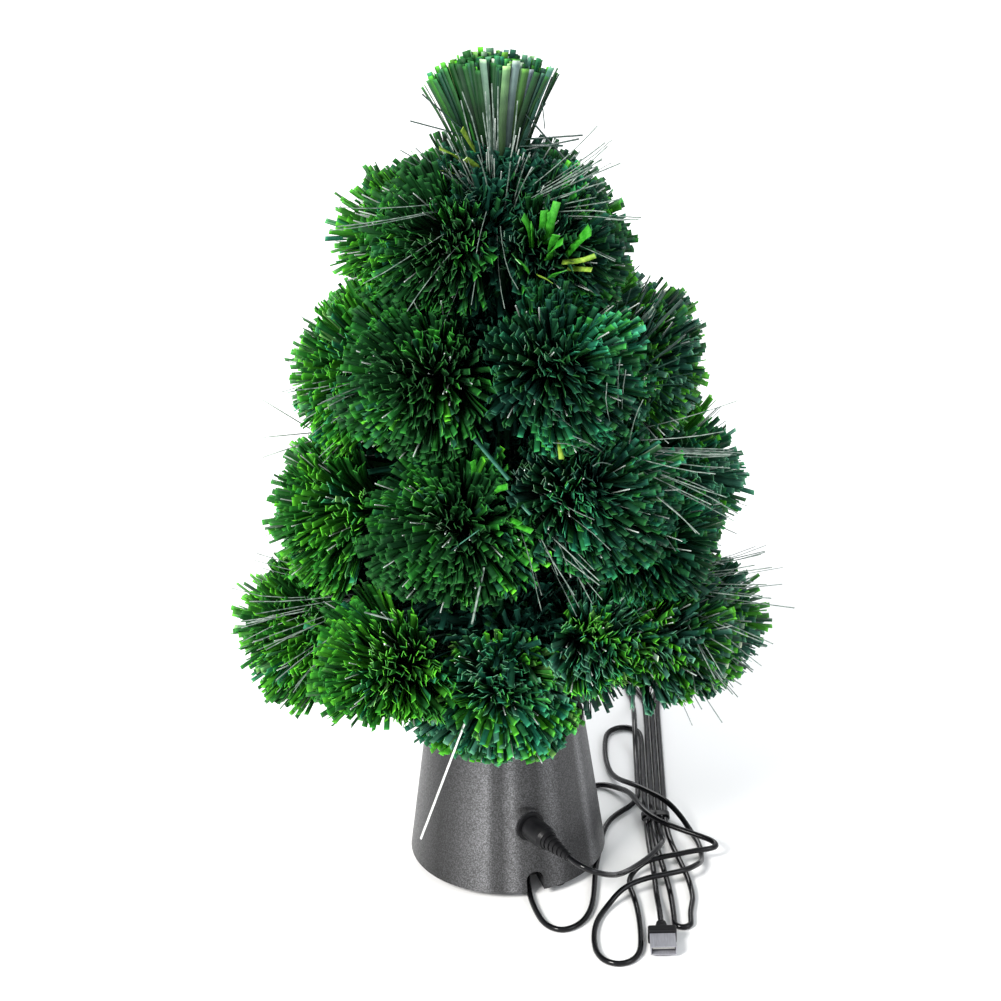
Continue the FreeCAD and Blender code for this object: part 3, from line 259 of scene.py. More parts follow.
def azimuth(tree, centre=(0.0, 0.0, 0.0)):
    """The turn about a vertical axis as 0 to 1, with 0.5 at the front."""
    parts = put(tree, "ShaderNodeSeparateXYZ", own_place(tree, offset=[-c for c in centre])).outputs
    angle = math_node(tree, "ARCTAN2", parts["X"], math_node(tree, "MULTIPLY", parts["Y"], -1.0))
    return math_node(tree, "MULTIPLY_ADD", angle, 1 / (2 * math.pi), 0.5)


def blended(tree, kind, first, second, factor=1.0):
    """Two colours mixed, multiplied or added."""
    mix = put(tree, "ShaderNodeMix", data_type="RGBA", blend_type=kind)
    wire(tree, mix.inputs["Factor"], factor)
    wire(tree, mix.inputs[6], first)
    wire(tree, mix.inputs[7], second)
    return mix.outputs[2]


print("helpers for patterns ready")

# %% Recipes for plastic and metal


def moulded(name, dark, pale, roughness, scale, shine=0.4):
    """Plastic or rubber: two close shades, a fine grain and a little bump."""
    material, tree, shader = finish_of(name, Specular_IOR_Level=shine)
    cloud = grain(tree, scale / 12, 3.0)
    wire(tree, shader.inputs["Base Color"], ramp(tree, cloud, (0.35, dark), (0.65, pale)))
    pores = grain(tree, scale)
    rough_by(tree, shader, pores, roughness - 0.08, roughness + 0.1)
    bumped(tree, shader, pores, 0.25, 0.0002)
    return material


def brushed(name, dark, pale, roughness, stretch):
    """Metal with fine streaks along one direction."""
    material, tree, shader = finish_of(name, metal=1.0)
    lines = streaks(tree, stretch, 1.0)
    wire(tree, shader.inputs["Base Color"], ramp(tree, lines, (0.3, dark), (0.7, pale)))
    rough_by(tree, shader, lines, roughness - 0.08, roughness + 0.12)
    bumped(tree, shader, lines, 0.1, 0.0001)
    return material


print("recipes ready: moulded and brushed")

# %% Dress the moulded and brushed pieces


def dress(node_name, material):
    """Gives a CAD node its finish."""
    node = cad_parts[node_name]
    node.data.materials.clear()
    node.data.materials.append(material)


black_plastic = moulded("black_plastic", (0.006, 0.006, 0.007), (0.012, 0.012, 0.013), 0.42, 1600.0, 0.22)
inner_plastic = moulded("inner_plastic", (0.60, 0.60, 0.56), (0.70, 0.70, 0.66), 0.5, 1200.0)
rubber = moulded("rubber", (0.012, 0.012, 0.012), (0.030, 0.029, 0.028), 0.8, 2200.0)
plug_black = moulded("plug_black", (0.004, 0.004, 0.005), (0.009, 0.009, 0.010), 0.4, 1900.0, 0.2)
tie_black = moulded("tie_black", (0.015, 0.015, 0.015), (0.03, 0.03, 0.032), 0.5, 1500.0)
zinc = brushed("zinc", (0.42, 0.42, 0.40), (0.62, 0.62, 0.60), 0.35, (900.0, 900.0, 300.0))
drawn_steel = brushed("drawn_steel", (0.48, 0.48, 0.47), (0.66, 0.66, 0.64), 0.32, (250.0, 250.0, 2500.0))
nickel = brushed("nickel", (0.62, 0.62, 0.60), (0.80, 0.80, 0.78), 0.3, (1800.0, 160.0, 1800.0))
brass = brushed("brass", (0.58, 0.40, 0.14), (0.75, 0.55, 0.22), 0.25, (1500.0, 1500.0, 400.0))

for slot, material, nodes in (
        ("black_plastic", black_plastic,
         ("bottom_cover", "top_cap", "trunk_socket", "power_socket", "trunk_foot_sleeve")),
        ("inner_plastic", inner_plastic, ("chassis", "lamp_holder", "colour_wheel", "wheel_hub")),
        ("rubber_foot", rubber, ("rubber_feet",)),
        ("steel", zinc, ("cover_screws", "motor_shaft")),
        ("motor_case", drawn_steel, ("motor_body",)),
        ("nickel", nickel, ("power_socket_nut", "coaxial_plug_barrel")),
        ("contact_brass", brass, ("power_socket_pin",)),
        ("plug_black", plug_black, ("coaxial_plug_head",)),
        ("tie_black", tie_black, ("twist_tie",))):
    for node_name in nodes:
        dress(node_name, material)
print("moulded and brushed pieces dressed")

# %% [markdown]
# ## The USB plug
# CAD holds the plug's moulding as one solid: strain relief, grip and the pale tongue
# inside the shell. So one material has to know where the grip ends, and does so by the
# object's own Y. The shell is duller than bright nickel, as in the photograph.

# %% USB plug
TONGUE_LENGTH = 9.6
TONGUE_EDGE = 0.1
grip_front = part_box("usb_plug_grip")[0][1] + TONGUE_LENGTH * MM
usb_moulding, tree, shader = finish_of("usb_moulding", roughness=0.45, Specular_IOR_Level=0.2)
towards_cord = put(tree, "ShaderNodeSeparateXYZ", own_place(tree)).outputs["Y"]
tongue_end = grip_front - TONGUE_EDGE * MM
on_grip = span(tree, towards_cord, tongue_end - TONGUE_EDGE * MM, tongue_end, 0.0, 1.0)
moulding = ramp(tree, on_grip, (0.0, (0.42, 0.42, 0.40)), (1.0, (0.008, 0.008, 0.009)))
flecks = ramp(tree, grain(tree, 1900.0), (0.3, (0.8, 0.8, 0.8)), (0.7, (1.2, 1.2, 1.2)))
wire(tree, shader.inputs["Base Color"], blended(tree, "MULTIPLY", moulding, flecks))
bumped(tree, shader, grain(tree, 1900.0), 0.2, 0.0002)
dress("usb_plug_grip", usb_moulding)

dull_tin, tree, shader = finish_of("dull_tin", metal=0.35)
satin = streaks(tree, (1800.0, 160.0, 1800.0), 1.0)
wire(tree, shader.inputs["Base Color"],
     ramp(tree, satin, (0.3, (0.28, 0.28, 0.31)), (0.7, (0.38, 0.38, 0.42))))
rough_by(tree, shader, satin, 0.42, 0.55)
bumped(tree, shader, satin, 0.1, 0.0001)
dress("usb_plug_shell", dull_tin)
print("plug dressed, grip ends at y = %.4f" % grip_front)

# %% [markdown]
# ## The speckled base
# The base is sprayed gunmetal: a strong fine speckle over a dark grey. In the photograph
# it mirrors its surroundings as soft upright bands, which a plain studio can't give, so
# the bands are painted reflections in the gunmetal here: a colour ramp over the azimuth,
# each stop read off the photograph in degrees to the right of the front.

# %% Gunmetal
COAT_BLUENESS = 1.03
REFLECTION_BANDS = [
    (-180, 0.08), (-76, 0.07), (-64, 0.045), (-48, 0.022), (-37, 0.04), (-25, 0.085), (-14, 0.15),
    (-9.5, 0.055), (-4, 0.045), (2.6, 0.15), (8, 0.06), (20, 0.035), (30, 0.10), (38, 0.05),
    (55, 0.045), (61, 0.15), (67, 0.06), (100, 0.07), (180, 0.08),
]
gunmetal, tree, shader = finish_of("gunmetal", metal=0.45)
stops = [(degrees / 360 + 0.5, (grey, grey, grey * COAT_BLUENESS)) for degrees, grey in REFLECTION_BANDS]
# Painted reflections: the soft upright bands of the surroundings, as greys over the azimuth.
painted_reflections = ramp(tree, azimuth(tree), *stops)
speckle = ramp(tree, grain(tree, 1500.0, 2.0), (0.36, (0.55, 0.55, 0.54)), (0.5, (0.95, 0.95, 0.95)),
               (0.64, (1.65, 1.65, 1.7)))
wire(tree, shader.inputs["Base Color"], blended(tree, "MULTIPLY", painted_reflections, speckle))
rough_by(tree, shader, grain(tree, 700.0), 0.34, 0.52)
bumped(tree, shader, grain(tree, 1500.0, 2.0), 0.3, 0.0002)
dress("base_shell", gunmetal)
print("gunmetal bands:", len(REFLECTION_BANDS))

# %% [markdown]
# ## Lamp, colour wheel and fibres
# A lamp shines through a slowly turning wheel of coloured films into the polished end of
# a bundle of clear fibres. The films are one CAD node, so their colours come from the
# azimuth about the wheel's own axis. The fibres are painted dark at their roots, painted
# shade inside the bunches, and pale at their tips, painted light where they catch it; a
# clear material would vanish against the white studio.

# %% Lamp board and lens
board_white, tree, shader = finish_of("board_white", roughness=0.4)
tracks = put(tree, "ShaderNodeTexBrick")
wire(tree, tracks.inputs["Vector"], own_place(tree, stretch=(1.0, 1.0, 0.0)))
tracks.inputs["Scale"].default_value = 420.0
tracks.inputs["Color1"].default_value = (0.80, 0.81, 0.80, 1.0)
tracks.inputs["Color2"].default_value = (0.74, 0.76, 0.75, 1.0)
tracks.inputs["Mortar"].default_value = (0.55, 0.48, 0.30, 1.0)
wire(tree, shader.inputs["Base Color"], tracks.outputs["Color"])
dress("lamp_board", board_white)

clear_lens, tree, shader = finish_of("clear_lens", (0.95, 0.97, 1.0), 0.06, IOR=1.49,
                                     Transmission_Weight=0.95)
rough_by(tree, shader, grain(tree, 800.0), 0.03, 0.1)
dress("lamp_lens", clear_lens)
print("lamp dressed")

# %% Colour films and fibres
# The wheel's own axis, as in the CAD.
WHEEL_AXIS = (-0.01096, 0.01096, 0.0)
films, tree, shader = finish_of("colour_films", roughness=0.25, Transmission_Weight=0.6, IOR=1.45)
quarter = ramp(tree, azimuth(tree, WHEEL_AXIS), (0.0, (0.75, 0.05, 0.04)),
               (0.25, (0.05, 0.12, 0.7)), (0.5, (0.05, 0.5, 0.1)), (0.75, (0.8, 0.55, 0.04)))
quarter.node.color_ramp.interpolation = "CONSTANT"
faint = ramp(tree, grain(tree, 300.0), (0.3, (0.85, 0.85, 0.85)), (0.7, (1.0, 1.0, 1.0)))
wire(tree, shader.inputs["Base Color"], blended(tree, "MULTIPLY", quarter, faint))
dress("colour_filters", films)

fibre, tree, shader = finish_of("clear_fibre", roughness=0.15, Specular_IOR_Level=0.8)
along = put(tree, "ShaderNodeAttribute", attribute_name="along").outputs["Fac"]
# Painted shade towards the roots and painted light at the tips of each fibre.
pale = ramp(tree, along, (0.0, (0.03, 0.06, 0.035)), (0.6, (0.16, 0.22, 0.17)), (1.0, (0.50, 0.56, 0.52)))
glint = ramp(tree, streaks(tree, (300.0, 300.0, 300.0), 1.0),
             (0.35, (0.7, 0.7, 0.7)), (0.65, (1.1, 1.1, 1.1)))
wire(tree, shader.inputs["Base Color"], blended(tree, "MULTIPLY", pale, glint))
dress("fibre_bundle", fibre)
print("colour wheel and fibres dressed")

# %% [markdown]
# ## Trunk and wires
# Trunk and stems are wound in dark green strip that shows between the bunches. Modelling
# each turn would cost many faces for a few glimpses, so the turns are a pattern: height
# and azimuth together make a saw-tooth that climbs like a thread, for colour and bump.

# %% Wound trunk and wires
WRAPS_PER_METRE = 420.0
wrap, tree, shader = finish_of("trunk_wrap", roughness=0.4)
parts = put(tree, "ShaderNodeSeparateXYZ", own_place(tree)).outputs
climb = math_node(tree, "MULTIPLY_ADD", parts["Z"], WRAPS_PER_METRE, azimuth(tree))
overlap = math_node(tree, "FRACT", climb)
wire(tree, shader.inputs["Base Color"],
     ramp(tree, overlap, (0.0, (0.004, 0.02, 0.006)), (0.15, (0.012, 0.06, 0.016)),
          (1.0, (0.02, 0.09, 0.02))))
bumped(tree, shader, overlap, 0.6, 0.0006)
dress("trunk_tube", wrap)
dress("branch_stems", wrap)

insulation, tree, shader = finish_of("insulation", roughness=0.35)
wire(tree, shader.inputs["Base Color"],
     ramp(tree, grain(tree, 500.0), (0.35, (0.36, 0.02, 0.015)), (0.65, (0.50, 0.04, 0.03))))
dress("inner_wires", insulation)
print("all hard pieces dressed")

# %% [markdown]
# ## The lead
# The lead is one 2.8 mm sheath, 1.92 m long, from the coaxial plug to the USB plug. Its
# free stretches follow points chosen on the table, and the hank between them is worked
# out turn by turn: two long loops and one folded loop under a twist tie. A single NURBS
# curve of order 3 through all of it gives the easy bends of a soft lead, and a bevel gives
# it its thickness without any mesh work.

# %% Points of the lead, in millimetres
CORD_DIAMETER = 2.8
FROM_PLUG = [
    (28.58, -73.51, 40.0), (33.2, -80.9, 40.0), (41.4, -82.4, 37.0), (48.6, -74.0, 30.0),
    (53.0, -62.0, 22.8), (57.6, -51.0, 17.6), (63.4, -42.0, 15.4), (69.4, -33.4, 14.4),
    (73.8, -23.4, 13.2), (76.3, -12.0, 9.4), (76.5, -2.0, 5.2), (75.93, 8.0, 2.2),
    (76.1, 16.0, 2.2),
]
TO_USB = [
    (67.1, 52.2, 1.4), (66.9, 43.0, 1.4), (63.4, 34.0, 1.4), (56.6, 27.6, 1.4),
    (50.6, 19.5, 1.4), (47.0, 7.0, 1.4), (45.0, -7.5, 1.4), (42.8, -22.0, 1.4),
    (41.6, -36.5, 1.4), (40.6, -50.0, 1.4), (38.2, -62.4, 1.4), (33.0, -72.4, 1.4),
    (24.6, -77.2, 1.4), (16.6, -71.8, 1.4), (12.6, -60.0, 1.4), (9.8, -46.0, 1.4),
    (8.8, -30.0, 1.4), (9.8, -12.0, 1.4), (13.5, 5.0, 1.4), (20.0, 22.0, 1.4),
    (29.0, 38.5, 1.4), (38.5, 51.0, 1.4), (48.8, 55.6, 1.4), (56.8, 48.2, 3.2),
    (62.0, 38.0, 7.0), (65.2, 26.8, 8.6), (69.2, 14.6, 9.4), (76.0, 5.2, 9.4),
    (85.0, -0.8, 8.6), (94.2, -5.6, 7.6), (101.0, -10.2, 7.3), (102.8, -15.0, 7.3),
    (99.2, -18.6, 8.0), (92.0, -20.4, 8.4), (83.0, -22.4, 7.8), (74.0, -24.4, 7.4),
    (66.4, -26.4, 6.4), (60.0, -30.2, 2.4), (58.0, -38.0, 1.4), (60.2, -49.5, 1.4),
    (61.4, -62.0, 1.4), (61.8, -74.0, 1.4), (61.6, -85.6, 1.4), (60.8, -95.4, 1.4),
    (57.2, -102.6, 1.4), (50.6, -105.6, 1.4), (43.8, -102.6, 1.4), (40.2, -95.4, 1.4),
    (39.4, -86.0, 1.4), (40.0, -76.4, 1.4), (42.2, -67.0, 1.4), (46.6, -58.0, 1.8),
    (54.4, -49.4, 6.6), (65.0, -43.8, 8.0), (76.0, -40.4, 8.0), (86.0, -36.8, 7.8),
    (92.4, -29.0, 6.0), (95.2, -18.6, 1.4), (95.2, -5.0, 1.4), (91.8, 7.0, 1.4),
    (86.8, 17.6, 5.0), (80.2, 27.2, 8.2), (72.0, 36.0, 8.2), (64.0, 44.6, 7.6),
    (57.2, 56.0, 3.6), (53.4, 67.0, 1.4), (51.8, 81.0, 1.4), (52.0, 95.0, 1.4),
    (53.4, 106.6, 1.4), (58.8, 112.3, 1.4), (66.1, 112.3, 1.4), (71.4, 106.6, 1.4),
    (71.2, 92.0, 1.4), (70.6, 66.0, 1.4), (70.0, 40.0, 1.9), (69.6, 22.0, 2.2),
    (69.6, 4.0, 1.9), (70.2, -14.0, 1.5), (71.0, -30.0, 1.4), (71.0, -46.0, 1.4),
    (71.5, -59.0, 2.2), (71.6, -68.0, 4.0), (71.6, -76.0, 4.0),
]
print("hand-laid points:", len(FROM_PLUG) + len(TO_USB))

# %% Sizes of the hank, in millimetres
HANK_TURN = math.radians(1.2)
ONWARD = Vector((math.sin(HANK_TURN), math.cos(HANK_TURN), 0))
ACROSS = Vector((math.cos(HANK_TURN), -math.sin(HANK_TURN), 0))
SKY = Vector((0, 0, 1))
# Straight stretches: up to the tie, through it, along the long loops, and out at the end.
HANK_ENTRY = 19.0
HANK_WAIST = 21.0
HANK_STRAIGHT = 80.0
HANK_END = 28.0
# Strands drop from the tie to the table by this much, over this length.
HANK_LIFT = 0.8
HANK_EASE = 22.0
# The two long loops behind the tie: their radii, and how far and how soon they widen.
INNER_LOOP = 8.4
INNER_SPREAD = 6.775
OUTER_LOOP = 12.0
OUTER_SPREAD = 6.9
OUTER_EARLY = 3.0
HANK_BULGE = 27.0
# The folded loop in front of the tie.
FOLD_SHIFT = 7.2
FOLD_WAY = 76.0
FOLD_AHEAD = 10.0
FOLD_RADIUS = 4.0
FOLD_BACK = 8.0
FOLD_BULGE = 2.0
FOLD_BULGE_WAY = 14.0
FOLD_RETURN = 64.0
# Strands side by side under the tie.
LANE = 3.25
# The last strand steps over the one that it crosses.
HUMP = 5.9
HUMP_RISE = 21.0
HUMP_TOP = 12.0
HUMP_FALL = 24.0
print("hank: two long loops, %.1f and %.1f mm in radius" % (INNER_LOOP, OUTER_LOOP))

# %% The hank, walked turn by turn
ARC_STEPS = 6


def hank_points(start):
    """Control points of the hank, from the end of the first stretch to the start of the last."""
    points = [Vector(start)]
    heading = 1

    def ahead(length, sideways=0.0, lift=0.0, steps=1):
        """On along the hank, easing over to one side or up on the way when asked."""
        begin = points[-1].copy()
        for k in range(1, steps + 1):
            share = k / steps
            ease = share * share * (3 - 2 * share)
            step = ONWARD * (heading * length * share) + ACROSS * (sideways * ease) + SKY * (lift * ease)
            points.append(begin + step)

    def loop(radius, side):
        """Half a turn back towards the way it came."""
        nonlocal heading
        begin = points[-1].copy()
        for k in range(1, ARC_STEPS + 1):
            angle = math.pi * k / ARC_STEPS
            step = ACROSS * (side * radius * (1 - math.cos(angle)))
            points.append(begin + step + ONWARD * (heading * radius * math.sin(angle)))
        heading = -heading

    ahead(HANK_ENTRY)
    ahead(HANK_EASE, lift=-HANK_LIFT, steps=2)
    ahead(HANK_STRAIGHT, steps=3)
    ahead(HANK_BULGE, sideways=INNER_SPREAD, steps=4)
    loop(INNER_LOOP, -1)
    ahead(HANK_BULGE, sideways=INNER_SPREAD, steps=4)
    ahead(HANK_STRAIGHT, steps=3)
    ahead(HANK_EASE, lift=HANK_LIFT, steps=2)
    ahead(HANK_WAIST)
    ahead(FOLD_WAY, sideways=FOLD_SHIFT, lift=-HANK_LIFT, steps=4)
    ahead(FOLD_AHEAD)
    loop(FOLD_RADIUS, 1)
    ahead(FOLD_BACK)
    ahead(FOLD_BULGE_WAY, sideways=FOLD_BULGE, steps=2)
    inwards = 2 * LANE - 2 * FOLD_RADIUS - FOLD_SHIFT - FOLD_BULGE
    ahead(FOLD_RETURN, sideways=inwards, lift=HANK_LIFT, steps=4)
    ahead(HANK_WAIST)
    ahead(HANK_EASE, lift=-HANK_LIFT, steps=2)
    ahead(HANK_STRAIGHT - OUTER_EARLY, steps=3)
    ahead(HANK_BULGE + OUTER_EARLY, sideways=OUTER_SPREAD, steps=4)
    loop(OUTER_LOOP, -1)
    ahead(HANK_BULGE, sideways=2 * OUTER_LOOP - OUTER_SPREAD - 4 * LANE, steps=4)
    ahead(HUMP_RISE, lift=HUMP, steps=3)
    ahead(HUMP_TOP)
    ahead(HUMP_FALL, lift=-HUMP, steps=3)
    ahead(HANK_END)
    return points[1:-1]


hank = hank_points(FROM_PLUG[-1])
print("hank points:", len(hank), "from", tuple(round(c, 1) for c in hank[0]))

# %% One curve for the whole lead


def cord_curve(name, points, diameter):
    """A round cord: one open NURBS spline with a bevel."""
    curve = bpy.data.curves.new(name, "CURVE")
    curve.dimensions = "3D"
    curve.resolution_u = 6
    curve.bevel_depth = diameter / 2 * MM
    curve.bevel_resolution = 3
    curve.use_fill_caps = True
    spline = curve.splines.new("NURBS")
    spline.points.add(len(points) - 1)
    for place, point in zip(spline.points, points):
        place.co = (*(Vector(point) * MM), 1.0)
    spline.order_u = 3
    spline.use_endpoint_u = True
    made = bpy.data.objects.new(name, curve)
    bpy.context.scene.collection.objects.link(made)
    return made


lead = cord_curve("lead", FROM_PLUG + hank + TO_USB, CORD_DIAMETER)
sheath, tree, shader = finish_of("black_sheath", (0.004, 0.004, 0.005), 0.3, Specular_IOR_Level=0.25)
rough_by(tree, shader, grain(tree, 900.0), 0.1, 0.22)
bumped(tree, shader, grain(tree, 1500.0), 0.15, 0.0002)
lead.data.materials.append(sheath)
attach(lead, "base")
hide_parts("cord_plug_lead", "cord_hank", "cord_tail")
print("lead laid:", lead.name)

# %% [markdown]
# ## The spray: one bunch of strips
# On the real tree each branch ends in a bunch of flat film strips, cut blunt, that are
# bound at one point and spread like a chrysanthemum. Modelling each strip by hand would
# take days, and a particle system can't be exported. Geometry Nodes suit it: one line is
# duplicated, each copy is bent by a rule with a few random numbers, and a flat profile
# is swept along it. The same tree makes the light fibres with a thin square profile.

# %% [markdown]
# ## Sizes of a spray
# The tree's inputs are its sizes, each with a name, in metres and radians. Depth is how
# far along the branch the inner strips start, and Underside the room below it. Clump and
# Lumps say how much neighbours lean and shorten together, Ruffle how far the strips are
# twisted, and Stray how far their tips wander.

# %% What a spray can be told
SPRAY_INPUTS = [
    ("Count", "NodeSocketInt", 200),
    ("Reach", "NodeSocketFloat", 0.058),
    ("Opening", "NodeSocketFloat", 0.9),
    ("Depth", "NodeSocketFloat", 0.02),
    ("Shorter Outside", "NodeSocketFloat", 0.2),
    ("Uneven", "NodeSocketFloat", 0.08),
    ("Outward Bend", "NodeSocketFloat", 0.2),
    ("Curl", "NodeSocketFloat", 0.45),
    ("Root Width", "NodeSocketFloat", 0.003),
    ("Down", "NodeSocketVector", (0.0, 0.0, -1.0)),
    ("Sag", "NodeSocketFloat", 0.004),
    ("Underside", "NodeSocketFloat", 0.1),
    ("Clump", "NodeSocketFloat", 0.006),
    ("Lumps", "NodeSocketFloat", 0.0),
    ("Width", "NodeSocketFloat", 0.0022),
    ("Thickness", "NodeSocketFloat", 0.00015),
    ("Ruffle", "NodeSocketFloat", 0.8),
    ("Stray", "NodeSocketFloat", 0.004),
    ("Seed", "NodeSocketInt", 1),
    ("Material", "NodeSocketMaterial", None),
]
print("inputs of a spray:", len(SPRAY_INPUTS))

# %% Helpers for Geometry Nodes


def geometry_tree(name, inputs):
    """An empty Geometry Nodes tree with named inputs and one geometry output."""
    tree = bpy.data.node_groups.new(name, "GeometryNodeTree")
    for label, kind, value in inputs:
        socket = tree.interface.new_socket(label, in_out="INPUT", socket_type=kind)
        if value is not None:
            socket.default_value = value
    tree.interface.new_socket("Geometry", in_out="OUTPUT", socket_type="NodeSocketGeometry")
    given = tree.nodes.new("NodeGroupInput").outputs
    result = tree.nodes.new("NodeGroupOutput").inputs[0]
    return tree, given, result


def chance(tree, low, high, strip, seed, offset):
    """A random number for each strip, fixed by the seed; the offset keeps its draws apart."""
    shifted = math_node(tree, "ADD", seed, offset)
    value = put(tree, "FunctionNodeRandomValue", low, high, strip, shifted, data_type="FLOAT")
    return value.outputs["Value"]


def vector_math(tree, operation, *inputs):
    """One step of arithmetic on vectors."""
    made = put(tree, "ShaderNodeVectorMath", operation=operation)
    sockets = [socket for socket in made.inputs if socket.enabled]
    if operation == "SCALE":
        sockets = [made.inputs[0], made.inputs["Scale"]]
    for socket, given in zip(sockets, inputs):
        wire(tree, socket, given)
    return made.outputs["Value" if operation == "DOT_PRODUCT" else "Vector"]


print("helpers for Geometry Nodes ready")

# %% [markdown]
# ## How one strip is laid
# A strip's share says how far out it is in the bunch, from 0 on the branch's line to 1
# at the edge, and its heading where it is around that line. Almost everything else, such
# as length, lean, sag and colour, follows from these two and a little chance. Real
# strips stick together in locks, so part of the chance is a soft noise over the bunch.

# %% One line for each strip, and how long it is
LINE_POINTS = 5
PATCH_SCALE = 2.3
LONGEST_CUT = 0.6


def strip_lines(tree, count):
    """A short line of points for each strip, with each point's strip number and place along it."""
    line = put(tree, "GeometryNodeCurvePrimitiveLine", mode="POINTS")
    points = put(tree, "GeometryNodeResampleCurve", mode="COUNT")
    wire(tree, points.inputs["Curve"], line.outputs["Curve"])
    wire(tree, points.inputs["Count"], LINE_POINTS)
    copies = put(tree, "GeometryNodeDuplicateElements", domain="SPLINE")
    wire(tree, copies.inputs["Geometry"], points.outputs["Curve"])
    wire(tree, copies.inputs["Amount"], count)
    index = put(tree, "GeometryNodeInputIndex").outputs[0]
    strip = math_node(tree, "FLOOR", math_node(tree, "DIVIDE", index, float(LINE_POINTS)))
    return copies.outputs["Geometry"], strip, put(tree, "GeometryNodeSplineParameter").outputs["Factor"]


def patches(tree, share, heading, seed):
    """Soft noise over the bunch: neighbours get nearly the same, so they stick together."""
    own_spot = put(tree, "ShaderNodeCombineXYZ",
                   math_node(tree, "MULTIPLY", share, math_node(tree, "COSINE", heading)),
                   math_node(tree, "MULTIPLY", share, math_node(tree, "SINE", heading)), seed).outputs[0]
    noise = put(tree, "ShaderNodeTexNoise")
    wire(tree, noise.inputs["Vector"], own_spot)
    noise.inputs["Scale"].default_value = PATCH_SCALE
    noise.inputs["Detail"].default_value = 1.0
    return vector_math(tree, "SUBTRACT", noise.outputs["Color"], (0.5, 0.5, 0.5)), noise.outputs["Fac"]


def strip_length(tree, given, share, strip, lump):
    """A strip's length as a share of the bunch's reach."""
    shorter = math_node(tree, "MULTIPLY", math_node(tree, "POWER", share, 2.0), given["Shorter Outside"])
    own_cut = chance(tree, -1.0, LONGEST_CUT, strip, given["Seed"], 3)
    uneven = math_node(tree, "MULTIPLY", own_cut, given["Uneven"])
    length = math_node(tree, "ADD", math_node(tree, "SUBTRACT", 1.0, shorter), uneven)
    return math_node(tree, "MULTIPLY_ADD", lump, given["Lumps"], length)


print("points on a strip:", LINE_POINTS)

# %% [markdown]
# ## The way a strip goes
# A point's place is worked out from how far it has gone along its strip. The strip leans
# out from the branch, curls more towards its tip and sags. A branch hides what hangs far
# below it, so the underside is lifted softly to a limit. Last, the tip strays a little.

# %% Where a strip's points lie
LEAST_CURL = 0.2
OUTER_CALM = 0.6
EDGE_CALM = 0.9
LEAST_UNDERSIDE = 0.001


def lean(tree, given, share, strip, along):
    """A point's angle to the branch: wider for outer strips, and curling more towards the tip."""
    bend = math_node(tree, "MULTIPLY_ADD", along, given["Outward Bend"], 1.0)
    spread = math_node(tree, "MULTIPLY", math_node(tree, "MULTIPLY", share, given["Opening"]), bend)
    own_curl = chance(tree, LEAST_CURL, 1.0, strip, given["Seed"], 9)
    curl = math_node(tree, "MULTIPLY", own_curl, given["Curl"])
    calm = math_node(tree, "MULTIPLY_ADD", share, -OUTER_CALM, 1.0)
    inner_curl = math_node(tree, "MULTIPLY", curl, calm)
    return math_node(tree, "MULTIPLY_ADD", inner_curl, math_node(tree, "POWER", along, 2.0), spread)


def fanned(tree, given, share, heading, gone, angle, inner):
    """Where a point lies that has gone some way along a strip leaning at an angle."""
    leant = math_node(tree, "MULTIPLY", gone, math_node(tree, "SINE", angle))
    sideways = math_node(tree, "MULTIPLY_ADD", share, given["Root Width"], leant)
    forward = math_node(tree, "MULTIPLY", gone, math_node(tree, "COSINE", angle))
    return put(tree, "ShaderNodeCombineXYZ",
               math_node(tree, "MULTIPLY", sideways, math_node(tree, "COSINE", heading)),
               math_node(tree, "MULTIPLY", sideways, math_node(tree, "SINE", heading)),
               math_node(tree, "ADD", forward, inner)).outputs[0]


def sagged(tree, given, place, share, along):
    """The place after the strip sags, lifted where it would hang too far under the branch."""
    further = math_node(tree, "POWER", along, 2.0)
    sag = math_node(tree, "MULTIPLY", math_node(tree, "MULTIPLY", further, share), given["Sag"])
    sagging = vector_math(tree, "ADD", place, vector_math(tree, "SCALE", given["Down"], sag))
    below = math_node(tree, "MAXIMUM", vector_math(tree, "DOT_PRODUCT", sagging, given["Down"]), 0.0)
    limit = math_node(tree, "MAXIMUM", given["Underside"], LEAST_UNDERSIDE)
    filled = math_node(tree, "TANH", math_node(tree, "DIVIDE", below, limit))
    pressed = math_node(tree, "MULTIPLY", filled, limit)
    lifted = math_node(tree, "SUBTRACT", pressed, below)
    return vector_math(tree, "ADD", sagging, vector_math(tree, "SCALE", given["Down"], lifted))


def loose_end(tree, given, share, strip, along):
    """A small move of the tip in a direction of its own, hardly any for outer strips."""
    way = put(tree, "ShaderNodeCombineXYZ",
              *(chance(tree, -1.0, 1.0, strip, given["Seed"], offset) for offset in (4, 5, 6))).outputs[0]
    far = math_node(tree, "MULTIPLY", math_node(tree, "POWER", along, 4.0), given["Stray"])
    calm = math_node(tree, "MULTIPLY_ADD", share, -EDGE_CALM, 1.0)
    return vector_math(tree, "SCALE", way, math_node(tree, "MULTIPLY", far, calm))


print("a strip's way: lean, fan, sag, loose end")

# %% [markdown]
# ## From a line to a film strip
# A curve has no width, so a thin rectangle is swept along it. Two numbers are stored on
# its points first, because the material needs them and nothing else survives the way to
# a plain mesh.

# %% Mark and sweep the strips


def marked(tree, strips, **values):
    """Stores numbers on the points, for the materials to read."""
    for label, value in values.items():
        store = put(tree, "GeometryNodeStoreNamedAttribute", data_type="FLOAT", domain="POINT")
        wire(tree, store.inputs["Geometry"], strips)
        store.inputs["Name"].default_value = label
        wire(tree, store.inputs["Value"], value)
        strips = store.outputs["Geometry"]
    return strips


